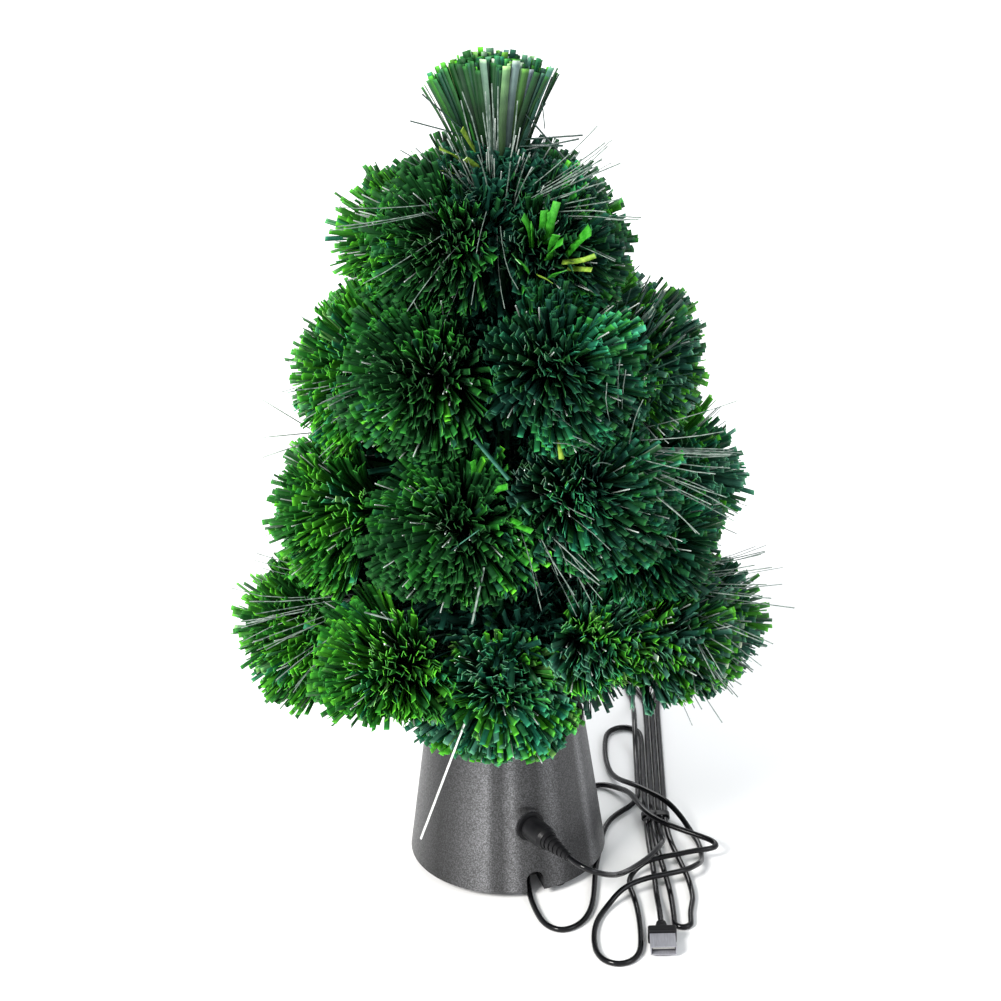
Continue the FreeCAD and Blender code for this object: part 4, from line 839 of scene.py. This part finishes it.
def swept(tree, given, strips, result):
    """Gives the strips their flat profile and material, as one real mesh."""
    profile = put(tree, "GeometryNodeCurvePrimitiveQuadrilateral", mode="RECTANGLE")
    wire(tree, profile.inputs["Width"], given["Width"])
    wire(tree, profile.inputs["Height"], given["Thickness"])
    solid = put(tree, "GeometryNodeCurveToMesh")
    wire(tree, solid.inputs["Curve"], strips)
    wire(tree, solid.inputs["Profile Curve"], profile.outputs["Curve"])
    solid.inputs["Fill Caps"].default_value = True
    real = put(tree, "GeometryNodeRealizeInstances")
    wire(tree, real.inputs["Geometry"], solid.outputs["Mesh"])
    painted = put(tree, "GeometryNodeSetMaterial")
    wire(tree, painted.inputs["Geometry"], real.outputs["Geometry"])
    wire(tree, painted.inputs["Material"], given["Material"])
    wire(tree, result, painted.outputs["Geometry"])


print("a strip's profile: rectangle, closed at both ends")

# %% The spray's node tree, put together
CROWDING = 0.62
PATCH_RANGE = (0.32, 0.68)
OWN_TONE = 0.28


def spray_tree():
    """Strips that leave one point in a cone about +Z and bend outwards and down."""
    tree, given, result = geometry_tree("spray", SPRAY_INPUTS)
    seed = given["Seed"]
    lines, strip, along = strip_lines(tree, given["Count"])
    share = math_node(tree, "POWER", chance(tree, 0.0, 1.0, strip, seed, 1), CROWDING)
    heading = chance(tree, 0.0, 2 * math.pi, strip, seed, 2)
    patch, patch_tone = patches(tree, share, heading, seed)
    lump = put(tree, "ShaderNodeSeparateXYZ", patch).outputs["Y"]
    inner = math_node(tree, "MULTIPLY", math_node(tree, "SUBTRACT", 1.0, share), given["Depth"])
    length = strip_length(tree, given, share, strip, lump)
    reach = math_node(tree, "SUBTRACT", math_node(tree, "MULTIPLY", given["Reach"], length), inner)
    gone = math_node(tree, "MULTIPLY", reach, along)
    place = fanned(tree, given, share, heading, gone, lean(tree, given, share, strip, along), inner)
    shaped = sagged(tree, given, place, share, along)
    further = math_node(tree, "POWER", along, 2.0)
    clump = vector_math(tree, "SCALE", patch, math_node(tree, "MULTIPLY", given["Clump"], further))
    clumped = vector_math(tree, "ADD", shaped, clump)
    moved = put(tree, "GeometryNodeSetPosition")
    wire(tree, moved.inputs["Geometry"], lines)
    wire(tree, moved.inputs["Position"],
         vector_math(tree, "ADD", clumped, loose_end(tree, given, share, strip, along)))

    facing = put(tree, "GeometryNodeSetCurveNormal", mode="Z_UP")
    wire(tree, facing.inputs["Curve"], moved.outputs["Geometry"])
    tilted = put(tree, "GeometryNodeSetCurveTilt")
    wire(tree, tilted.inputs["Curve"], facing.outputs["Curve"])
    turned = math_node(tree, "MULTIPLY", chance(tree, -1.0, 1.0, strip, seed, 7), given["Ruffle"])
    wire(tree, tilted.inputs["Tilt"], turned)
    shared_tone = span(tree, patch_tone, *PATCH_RANGE, 0.0, 1.0 - OWN_TONE)
    tone = math_node(tree, "ADD", shared_tone, chance(tree, 0.0, OWN_TONE, strip, seed, 8))
    swept(tree, given, marked(tree, tilted.outputs["Curve"], tone=tone, along=along), result)
    return tree


spray = spray_tree()
print("spray tree:", len(spray.nodes), "nodes")

# %% [markdown]
# ## From a node tree to a plain mesh
# The exporter wants plain meshes, so each tree is evaluated once on an empty object and
# only its result is kept. Its place goes into the mesh, so the finished piece sits at
# the origin.

# %% Grow a mesh


def grown(name, tree, sizes, place):
    """Evaluates a node tree once, keeps its result as a mesh and moves that into place."""
    seedling = bpy.data.objects.new(name + "_seedling", bpy.data.meshes.new(name + "_seedling"))
    bpy.context.scene.collection.objects.link(seedling)
    modifier = seedling.modifiers.new("grow", "NODES")
    modifier.node_group = tree
    sockets = {s.name: s for s in tree.interface.items_tree if s.in_out == "INPUT"}
    for label, value in sizes.items():
        modifier[sockets[label].identifier] = value
    ready = seedling.evaluated_get(bpy.context.evaluated_depsgraph_get())
    mesh = bpy.data.meshes.new_from_object(ready)
    mesh.name = name
    mesh.transform(place)
    bpy.data.objects.remove(seedling)
    made = bpy.data.objects.new(name, mesh)
    bpy.context.scene.collection.objects.link(made)
    return made


print("helper for growing a mesh ready")

# %% [markdown]
# ## Where the bunches are
# The four rings of branches were bent by hand, so no two point the same way. The list
# gives each tip as it lies in the photograph; the bunch is then grown along the line
# from the trunk to its tip. The strips sag towards the table, and that direction has to
# be turned into the bunch's own space.

# %% Branch tips: azimuth in degrees, distance from the trunk and height in millimetres
RINGS = {
    1: {"root": 318.0, "length": 52.0, "tips": [
        ("left", -84, 67, 330), ("front_left", -46, 61, 333), ("front_right", 49, 62, 332),
        ("right", 86, 61, 331), ("back_right", 140, 58, 334), ("back_left", -138, 56, 332)]},
    2: {"root": 256.0, "length": 56.0, "tips": [
        ("left", -76, 93, 270), ("front_left", -34, 88, 283), ("front_right", 28, 86, 295),
        ("right", 72, 95, 273), ("back_right", 134, 94, 262), ("back_left", -142, 90, 274)]},
    3: {"root": 184.0, "length": 58.0, "tips": [
        ("left", -70, 107, 210), ("front_left", -17, 99, 222), ("front_right", 33, 96, 241),
        ("low_right", 58, 108, 192), ("right", 94, 110, 212), ("back_right", 150, 104, 204),
        ("back_left", -144, 104, 206)]},
    4: {"root": 118.0, "length": 58.0, "tips": [
        ("left", -80, 123, 142), ("front_left", -40, 115, 141), ("front", -3, 94, 128),
        ("front_right", 38, 106, 157), ("right_front", 58, 118, 152), ("right", 87, 122, 134),
        ("back_right", 126, 122, 132), ("back", 168, 102, 132), ("back_left", -138, 120, 132)]},
}
STEM_STEP = 3.0
DOWN = Vector((0, 0, -1))


def branch_frame(root_height, turned_to, distance, height, length):
    """A matrix that stands a bunch on its neck with +Z along the branch, and down in that space."""
    root = Vector((0, 0, root_height)) * MM
    angle = math.radians(turned_to)
    tip = Vector((distance * math.sin(angle), -distance * math.cos(angle), height)) * MM
    along = (tip - root).normalized()
    turn = along.to_track_quat("Z", "Y").to_matrix()
    neck = tip - along * (length * MM)
    return Matrix.Translation(neck) @ turn.to_4x4(), turn.transposed() @ DOWN


print("branches:", sum(len(facts["tips"]) for facts in RINGS.values()))

# %% [markdown]
# ## Foliage film
# The strips are cut from coloured film: mostly bottle green, some teal, a few of clear
# silvery film that flashes white. Each strip carries a tone, which is partly that of its
# neighbours, and each of its points knows how far along it is. With these two numbers one
# material can colour thousands of strips differently, paint shade on them towards the root,
# where less light gets in, and paint a highlight on the cut ends, where they catch the light.
# The photograph's tree is leaf green on the left, teal and silvery on the right and darker
# between, partly from the films and partly from the light, so there are several mixes, some
# of them copies with painted light and others with painted shade.

# %% Foliage materials
CUT_END_HIGHLIGHT = (3.6, 3.0, 2.6)


def foliage_finish(name, stops, root_shade):
    """Film strips coloured by their tone, with painted shade towards the root and a painted highlight on
    the cut end.
    """
    material, tree, shader = finish_of(name, roughness=0.4, Specular_IOR_Level=0.3)
    tone = put(tree, "ShaderNodeAttribute", attribute_name="tone").outputs["Fac"]
    along = put(tree, "ShaderNodeAttribute", attribute_name="along").outputs["Fac"]
    # Painted shade, darker towards the root, and a painted highlight on the cut end.
    root_shade_and_end_highlight = ramp(tree, along, (0.1, (root_shade * 0.5,) * 3), (0.6, (root_shade,) * 3),
                 (0.92, (1.0,) * 3), (0.965, (1.1,) * 3), (1.0, CUT_END_HIGHLIGHT))
    shaded = blended(tree, "MULTIPLY", ramp(tree, tone, *stops), root_shade_and_end_highlight)
    cloudy = ramp(tree, grain(tree, 160.0), (0.3, (0.7, 0.72, 0.7)), (0.7, (1.25, 1.2, 1.1)))
    wire(tree, shader.inputs["Base Color"], blended(tree, "MULTIPLY", shaded, cloudy))
    rough_by(tree, shader, grain(tree, 260.0), 0.28, 0.5)
    return material


print("helper for foliage finishes ready")

# %% The mixes
NIGHT_GREEN = (0.005, 0.034, 0.011)
DEEP_GREEN = (0.007, 0.055, 0.012)
LEAF_GREEN = (0.014, 0.13, 0.014)
FRESH_GREEN = (0.045, 0.26, 0.015)
TEAL = (0.012, 0.12, 0.075)
BRIGHT_TEAL = (0.02, 0.17, 0.11)
DARK_TEAL = (0.006, 0.042, 0.030)
NIGHT_TEAL = (0.006, 0.030, 0.022)
PALE_GREEN = (0.12, 0.30, 0.09)
PALE_TEAL = (0.05, 0.16, 0.12)
SILVER = (0.40, 0.50, 0.46)
# Lit and shaded copies of the film: the left mix carries painted light, the middle and shade mixes
# painted shade, over the films' own greens and teals.
foliage_left = foliage_finish("foliage_left", [
    (0.0, DEEP_GREEN), (0.25, LEAF_GREEN), (0.45, DEEP_GREEN), (0.6, FRESH_GREEN),
    (0.75, LEAF_GREEN), (0.88, TEAL), (0.97, PALE_GREEN)], root_shade=0.5)
foliage_middle = foliage_finish("foliage_middle", [
    (0.0, NIGHT_TEAL), (0.25, DARK_TEAL), (0.42, DEEP_GREEN), (0.6, DARK_TEAL),
    (0.74, DEEP_GREEN), (0.86, LEAF_GREEN), (0.97, TEAL)], root_shade=0.42)
foliage_shade = foliage_finish("foliage_shade", [
    (0.0, NIGHT_GREEN), (0.25, DEEP_GREEN), (0.42, NIGHT_GREEN), (0.58, DEEP_GREEN),
    (0.72, LEAF_GREEN), (0.84, DARK_TEAL), (0.96, FRESH_GREEN)], root_shade=0.42)
foliage_teal = foliage_finish("foliage_teal", [
    (0.0, NIGHT_TEAL), (0.22, DARK_TEAL), (0.36, DEEP_GREEN), (0.5, DARK_TEAL),
    (0.64, DEEP_GREEN), (0.76, TEAL), (0.87, LEAF_GREEN), (0.96, BRIGHT_TEAL)], root_shade=0.42)
foliage_right = foliage_finish("foliage_right", [
    (0.0, DARK_TEAL), (0.25, PALE_TEAL), (0.38, DARK_TEAL), (0.55, DEEP_GREEN),
    (0.68, FRESH_GREEN), (0.78, DARK_TEAL), (0.9, PALE_TEAL), (1.0, SILVER)], root_shade=0.65)
# The lit mix: painted light for the bunches that catch the light.
foliage_lit = foliage_finish("foliage_lit", [
    (0.0, TEAL), (0.2, PALE_TEAL), (0.35, DEEP_GREEN), (0.5, TEAL), (0.65, FRESH_GREEN),
    (0.8, LEAF_GREEN), (0.95, PALE_GREEN)], root_shade=0.6)
# The darkest mix, for the bunches inside the tree: dark film with painted shade.
foliage_deep_shade = foliage_finish("foliage_deep_shade", [
    (0.0, DARK_TEAL), (0.55, DARK_TEAL), (0.8, DEEP_GREEN), (0.95, TEAL)], root_shade=1.0)
print("foliage mixes ready")

# %% [markdown]
# ## From material to branch
# The mix follows from where a bunch is, left to right, as the light and the film's colour
# change in the photograph, so the mixes carry painted light on the left and painted shade
# between. Four bunches that catch the light and three teal ones are named one by one; the
# four get the lit mix, with painted light.

# %% Choose a mix and hand a bunch over
LEFT_ENDS = -55.0
SHADE_ENDS = -10.0
MIDDLE_ENDS = 50.0
IN_THE_LIGHT = ((4, "front"), (4, "front_right"), (3, "right"), (1, "right"))
TEAL_BUNCHES = ((2, "front_right"), (3, "front_right"), (3, "low_right"))


def joined(name, objects):
    """Several meshes as one object."""
    with bpy.context.temp_override(active_object=objects[0], selected_editable_objects=objects):
        bpy.ops.object.join()
    objects[0].name = name
    return objects[0]


def on_tree(item, slot, *nodes):
    """Lets a piece turn and lift with the tree and counts its triangles; the slot it is given is not
    used.
    """
    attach(item, "tree")
    if nodes:
        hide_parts(*nodes)
    return sum(len(p.vertices) - 2 for p in item.data.polygons)


def mix_for(tip_x, name):
    """The foliage mix of a named bunch, or for its distance to the right in millimetres."""
    if name in IN_THE_LIGHT:
        return foliage_lit
    if name in TEAL_BUNCHES:
        return foliage_teal
    if tip_x < LEFT_ENDS:
        return foliage_left
    if tip_x < SHADE_ENDS:
        return foliage_shade
    return foliage_middle if tip_x < MIDDLE_ENDS else foliage_right


print("bunches with a mix of their own:", len(IN_THE_LIGHT) + len(TEAL_BUNCHES))

# %% [markdown]
# ## The bunches
# All 28 bunches share one set of sizes for their strips. They differ in how wide they
# open, how much room they have below and how long they are, because the real ones are
# pressed by their neighbours. A few thin light fibres grow in each bunch and end just
# past the strips.

# %% Sizes of strips, fibres and bunches
STRIPS = {
    "Depth": 0.014, "Shorter Outside": 0.04, "Uneven": 0.025,
    "Outward Bend": 0.15, "Curl": 0.22, "Root Width": 0.003, "Width": 0.0026,
    "Thickness": 0.00015, "Ruffle": 1.0, "Stray": 0.0075, "Clump": 0.018, "Lumps": 0.3,
}
# Opening in degrees, room below in millimetres and share of the branch's length: first
# for each ring, then for the bunches that differ from it.
SHAPE = {
    1: (38.0, 24.0, 0.97), 2: (42.0, 38.0, 0.97), 3: (42.0, 38.0, 0.97), 4: (46.0, 30.0, 0.97),
    (1, "left"): (34.0, 8.0, 0.96), (1, "right"): (38.0, 24.0, 0.84),
    (1, "front_left"): (41.0, 15.0, 1.0), (1, "front_right"): (41.0, 15.0, 1.0),
    (2, "front_left"): (39.0, 22.0, 1.0), (2, "front_right"): (38.0, 21.0, 1.0),
    (2, "right"): (38.0, 38.0, 0.96),
    (3, "front_left"): (37.0, 20.0, 1.0), (3, "front_right"): (38.0, 19.0, 1.0),
    (3, "low_right"): (42.0, 20.0, 0.95), (3, "right"): (42.0, 36.0, 0.96),
    (4, "front_left"): (44.0, 1.0, 0.96), (4, "front"): (35.0, 20.0, 0.98),
    (4, "front_right"): (36.0, 1.0, 0.85),
    (4, "right_front"): (42.0, 8.0, 0.95), (4, "right"): (43.0, 30.0, 0.95),
}
FIBRES = {
    "Depth": 0.004, "Shorter Outside": 0.05, "Uneven": 0.16,
    "Outward Bend": 0.05, "Curl": 0.08, "Root Width": 0.003, "Width": 0.00045,
    "Thickness": 0.00045, "Ruffle": 0.0, "Stray": 0.004, "Material": fibre,
}
STRIP_COUNT = {1: 760, 2: 820, 3: 860, 4: 860}
FIBRE_COUNT = 32
strips_planned = [STRIP_COUNT[ring] * len(facts["tips"]) for ring, facts in RINGS.items()]
print("strips on the four rings:", strips_planned)

# %% Grow the bunches on their branches
SEED_STEP = 17
FIBRE_SEED_SHIFT = 5
FIBRE_EXCESS = 1.02
FIBRE_SPREAD = 4.0
triangles = 0
seed = 0
for ring, facts in RINGS.items():
    ring_fibres = []
    for index, (name, turned_to, distance, height) in enumerate(facts["tips"]):
        seed += SEED_STEP
        root = facts["root"] + STEM_STEP * (1 if index % 2 else -1)
        place, down = branch_frame(root, turned_to, distance, height, facts["length"])
        tip_x = distance * math.sin(math.radians(turned_to))
        opening, under, share = SHAPE.get((ring, name), SHAPE[ring])
        reach = facts["length"] * share * MM
        bunch = grown("bunch_%d_%s" % (ring, name), spray, dict(
            STRIPS, Count=STRIP_COUNT[ring], Reach=reach, Down=down,
            Opening=math.radians(opening), Underside=under * MM, Seed=seed,
            Material=mix_for(tip_x, (ring, name))), place)
        triangles += on_tree(bunch, "foliage", "branch_%d_%s" % (ring, name))
        ring_fibres.append(grown("fibres_%d_%s" % (ring, name), spray, dict(
            FIBRES, Count=FIBRE_COUNT, Reach=FIBRE_EXCESS * reach, Down=down,
            Opening=math.radians(opening + FIBRE_SPREAD), Underside=under * MM,
            Seed=seed + FIBRE_SEED_SHIFT), place))
    triangles += on_tree(joined("light_fibres_%d" % ring, ring_fibres), "clear_fibre")
print("triangles in the bunches:", triangles)

# %% [markdown]
# ## Inside the tree
# Between the rings the real tree shows hardly any trunk, only more dark strips in the
# shade. So shorter bunches of the darkest mix, dark film with painted shade, fill the gaps,
# starting near the trunk: wide open ones up to the top ring, and two narrower storeys under
# the crown. Each line below is one storey: height on the trunk, height and distance of its
# tips, how many go round, and where the first one points.

# %% Fill the gaps between the rings
STOREYS = [
    (142.0, 150.0, 84.0, 8, 4.0),
    (160.0, 172.0, 70.0, 7, 28.0),
    (212.0, 228.0, 68.0, 7, 2.0),
    (268.0, 290.0, 56.0, 7, 20.0),
    (318.0, 345.0, 40.0, 6, -12.0),
    (328.0, 364.0, 18.0, 5, 36.0),
]
WIDE_STOREYS = 4
WIDE_OPENING = 64.0
NARROW_OPENING = 40.0
INNER_COUNT = 200
LONGEST_INNER = 52.0
INNER_SHARE = 0.95
for storey, (root, height, distance, count, first) in enumerate(STOREYS, start=1):
    inner = []
    for k in range(count):
        seed += SEED_STEP
        turned_to = first + 360.0 * k / count
        length = min(LONGEST_INNER, INNER_SHARE * math.hypot(distance, height - root))
        place, down = branch_frame(root, turned_to, distance, height, length)
        opening = WIDE_OPENING if storey <= WIDE_STOREYS else NARROW_OPENING
        inner.append(grown("inner_%d_%d" % (storey, k), spray, dict(
            STRIPS, Count=INNER_COUNT, Reach=length * MM, Opening=math.radians(opening), Down=down,
            Seed=seed, Material=foliage_deep_shade), place))
    triangles += on_tree(joined("inner_bunches_%d" % storey, inner), "foliage")
print("triangles with the inner bunches:", triangles)

# %% [markdown]
# ## The top
# The top bunch is a shaving brush rather than a rosette: wide where it starts, straight
# sided, and cut almost level. It is green on its left, pale in the middle and dark teal
# on its right, so eight overlapping parts make it. The whole is pressed flat from front
# to back, and its front edge is raised a little, which hides most of the cut face.

# %% The top bunch
TOP_BRUSH = dict(STRIPS, **{
    "Depth": 0.004, "Shorter Outside": 0.02, "Uneven": 0.04, "Outward Bend": 0.15, "Curl": 0.04,
    "Root Width": 0.008, "Ruffle": 0.5, "Stray": 0.002, "Clump": 0.006, "Lumps": 0.12})
WIDER = 1.02
FLATTER = 0.32
FRONT_RAISED = 0.25
PRESSED = Matrix(((WIDER, 0, 0, 0), (0, FLATTER, 0, 0), (0, -FRONT_RAISED, 1, 0), (0, 0, 0, 1)))
top_colours = foliage_finish("foliage_top", [
    (0.0, (0.04, 0.08, 0.12)), (0.3, (0.05, 0.17, 0.02)), (0.55, (0.16, 0.20, 0.32)),
    (0.8, (0.12, 0.28, 0.08))], root_shade=0.4)
# The parts take the side mixes, with their painted light and shade.
# Place of the tip to the right and back, strips, reach and strip width in millimetres.
TOP_PARTS = [
    (-9.5, 1.0, 50, 62.0, 2.4, foliage_left), (-9.5, -2.0, 130, 62.0, 2.6, foliage_shade),
    (-3.0, -6.0, 60, 62.0, 2.6, foliage_middle), (0.0, 0.0, 80, 63.0, 2.4, foliage_lit),
    (8.0, 0.0, 110, 62.0, 2.8, foliage_right), (9.0, -2.0, 80, 62.0, 2.6, foliage_middle),
    (-2.0, -10.0, 44, 62.5, 3.4, top_colours), (0.0, 8.0, 90, 61.0, 2.4, foliage_middle),
]
CROWN_ROOT = 346.0
CROWN_TIP = 409.0
CROWN_OPENING = math.radians(11)
top_parts = []
for tip_x, tip_y, count, reach, width, material in TOP_PARTS:
    seed += SEED_STEP
    turned_to = math.degrees(math.atan2(tip_x, -tip_y))
    place, down = branch_frame(
        CROWN_ROOT, turned_to, math.hypot(tip_x, tip_y), CROWN_TIP, CROWN_TIP - CROWN_ROOT)
    top_parts.append(grown("top_part_%d" % seed, spray, dict(
        TOP_BRUSH, Count=count, Reach=reach * MM, Opening=CROWN_OPENING, Width=width * MM, Down=down,
        Seed=seed, Material=material), PRESSED @ place))
triangles += on_tree(joined("bunch_top", top_parts), "foliage", "top_tuft")
print("parts of the crown:", len(top_parts))

# %% Light fibres round the crown's foot
FOOT_ROOT = 322.0
FOOT_TIP = 380.0
FOOT_DISTANCE = 4.0
place, down = branch_frame(FOOT_ROOT, 0.0, FOOT_DISTANCE, FOOT_TIP, FOOT_TIP - FOOT_ROOT)
top_fibres = grown("light_fibres_top", spray, dict(
    FIBRES, Count=70, Reach=54.0 * MM, Opening=math.radians(26), Down=down, Seed=3), place)
triangles += on_tree(top_fibres, "clear_fibre")
print("triangles with the top:", triangles)

# %% [markdown]
# ## Loose strips and fans
# No two real trees are alike, because handling them bends fibres out of the bunches and
# pulls single strips loose. These were read off the photograph one by one, each with the
# point where it starts inside the foliage and the point where it ends. The spray tree
# makes them too: a single strip is a spray of one, and a fan is a narrow spray of a few.

# %% Films of the loose strips


def film(name, dark, pale):
    """The film of a strip that came loose, a little cloudy."""
    material, tree, shader = finish_of(name, roughness=0.35)
    wire(tree, shader.inputs["Base Color"], ramp(tree, grain(tree, 400.0), (0.35, dark), (0.65, pale)))
    return material


clear_film = film("clear_film", (0.62, 0.66, 0.63), (0.85, 0.86, 0.84))
teal_film = film("teal_film", (0.02, 0.12, 0.08), (0.05, 0.20, 0.13))
fresh_film = film("fresh_film", (0.02, 0.22, 0.01), (0.06, 0.38, 0.03))
yellow_film = film("yellow_film", (0.12, 0.26, 0.02), (0.30, 0.45, 0.06))
silver_film = film("silver_film", (0.05, 0.09, 0.07), (0.24, 0.30, 0.26))
dark_film = film("dark_film", (0.004, 0.02, 0.014), (0.01, 0.045, 0.03))
print("films of the loose strips ready")

# %% Single loose strips
SINGLE = {"Count": 1, "Opening": 0.0, "Depth": 0.0, "Uneven": 0.0, "Curl": 0.0, "Stray": 0.0,
          "Clump": 0.0, "Sag": 0.0}
# Film, width, start and end, all in millimetres.
STRAY_STRIPS = [
    (clear_film, 1.3, (-19.5, -90, 124), (-41.1, -98, 68)),
    (teal_film, 2.2, (-19, -72, 268), (4, -86, 243)),
    (yellow_film, 2.4, (25, -64, 262), (26, -84, 252)),
    (teal_film, 2.0, (-4, -76, 242), (13, -90, 228)),
    (teal_film, 2.4, (-29, -88, 206), (-11, -100, 226)),
    (dark_film, 1.6, (14, -4, 384), (33, -6, 361)),
    (dark_film, 1.4, (14, -4, 371), (40, -6, 373)),
    (dark_film, 1.4, (14, -4, 366), (38, -8, 372)),
    (dark_film, 1.8, (12, -4, 368), (31, -8, 369)),
    (dark_film, 1.2, (13, -2, 373), (23, -4, 387)),
    (dark_film, 1.2, (23, -4, 387), (24, -4, 375)),
    (dark_film, 1.4, (-12, -4, 376), (-30, -6, 394)),
    (dark_film, 0.8, (-12, -4, 374), (-36, -6, 382)),
    (silver_film, 0.9, (-9, -96, 206), (-15, -104, 182)),
    (silver_film, 0.35, (20, -90, 213), (42, -108, 202)),
    (silver_film, 0.35, (16, -90, 216), (31, -108, 197)),
    (silver_film, 0.35, (20, -90, 219), (42, -108, 204)),
    (silver_film, 1.0, (-62, -90, 182), (-49, -100, 183)),
    (fibre, 0.4, (-86, -18, 240), (-107, -20, 256)),
    (fibre, 0.4, (-86, -18, 238), (-110, -20, 237)),
    (fibre, 0.4, (-86, -18, 234), (-109, -20, 227)),
]


def from_to(name, start, end, sizes):
    """A spray that starts at one point and reaches to another, both in millimetres."""
    run = (Vector(end) - Vector(start)) * MM
    turn = run.to_track_quat("Z", "Y").to_matrix().to_4x4()
    place = Matrix.Translation(Vector(start) * MM) @ turn
    return grown(name, spray, dict(FIBRES, Reach=run.length, Down=DOWN, **sizes), place)


strays = []
for material, width, start, end in STRAY_STRIPS:
    strays.append(from_to("stray_%d" % len(strays), start, end, dict(
        SINGLE, Width=width * MM, Material=material)))
print("single strips:", len(strays))

# %% Fans of fibres and strips
FAN_THICKNESS = 0.3
FAN_ROOT = 12.0
# Film, count, opening in degrees, width, start and end in millimetres.
FANS = [
    (silver_film, 16, 20, 0.5, (2, -14, 345), (2, -32, 392)),
    (silver_film, 8, 16, 0.4, (-10, -14, 352), (-23, -36, 378)),
    (silver_film, 18, 26, 0.3, (12, -62, 224), (46, -99, 202)),
    (silver_film, 6, 26, 0.3, (-6, -36, 344), (-20, -72, 318)),
    (silver_film, 20, 30, 0.4, (-48, -30, 272), (-93, -35, 267)),
    (silver_film, 24, 30, 0.4, (-66, -40, 162), (-122, -45, 151)),
    (silver_film, 40, 34, 0.5, (66, -36, 160), (122, -45, 134)),
    (dark_film, 18, 30, 1.4, (52, -40, 270), (80, -50, 304)),
    (silver_film, 22, 30, 0.5, (18, -30, 346), (57, -45, 356)),
    (silver_film, 24, 32, 0.45, (54, -54, 239), (106, -62, 223)),
    (silver_film, 6, 24, 0.3, (-20, -40, 344), (-65, -55, 325)),
    (silver_film, 12, 28, 0.4, (47, -66, 248), (29, -90, 281)),
    (silver_film, 20, 30, 0.5, (80, -50, 156), (92, -62, 118)),
    (fresh_film, 11, 17, 3.4, (22, -44, 330), (26, -62, 350)),
    (yellow_film, 3, 20, 2.2, (24, -46, 330), (34, -62, 338)),
    (fresh_film, 4, 20, 2.6, (-8, -76, 226), (-2, -98, 240)),
    (yellow_film, 5, 24, 2.4, (-10, -4, 362), (-22, -10, 376)),
]
for material, count, opening, width, start, end in FANS:
    strays.append(from_to("fan_%d" % len(strays), start, end, {
        "Count": count, "Opening": math.radians(opening), "Seed": len(strays), "Width": width * MM,
        "Thickness": FAN_THICKNESS * MM, "Root Width": FAN_ROOT * MM, "Material": material}))
triangles += on_tree(joined("stray_strips", strays), "clear_fibre")
print("triangles in all foliage:", triangles)
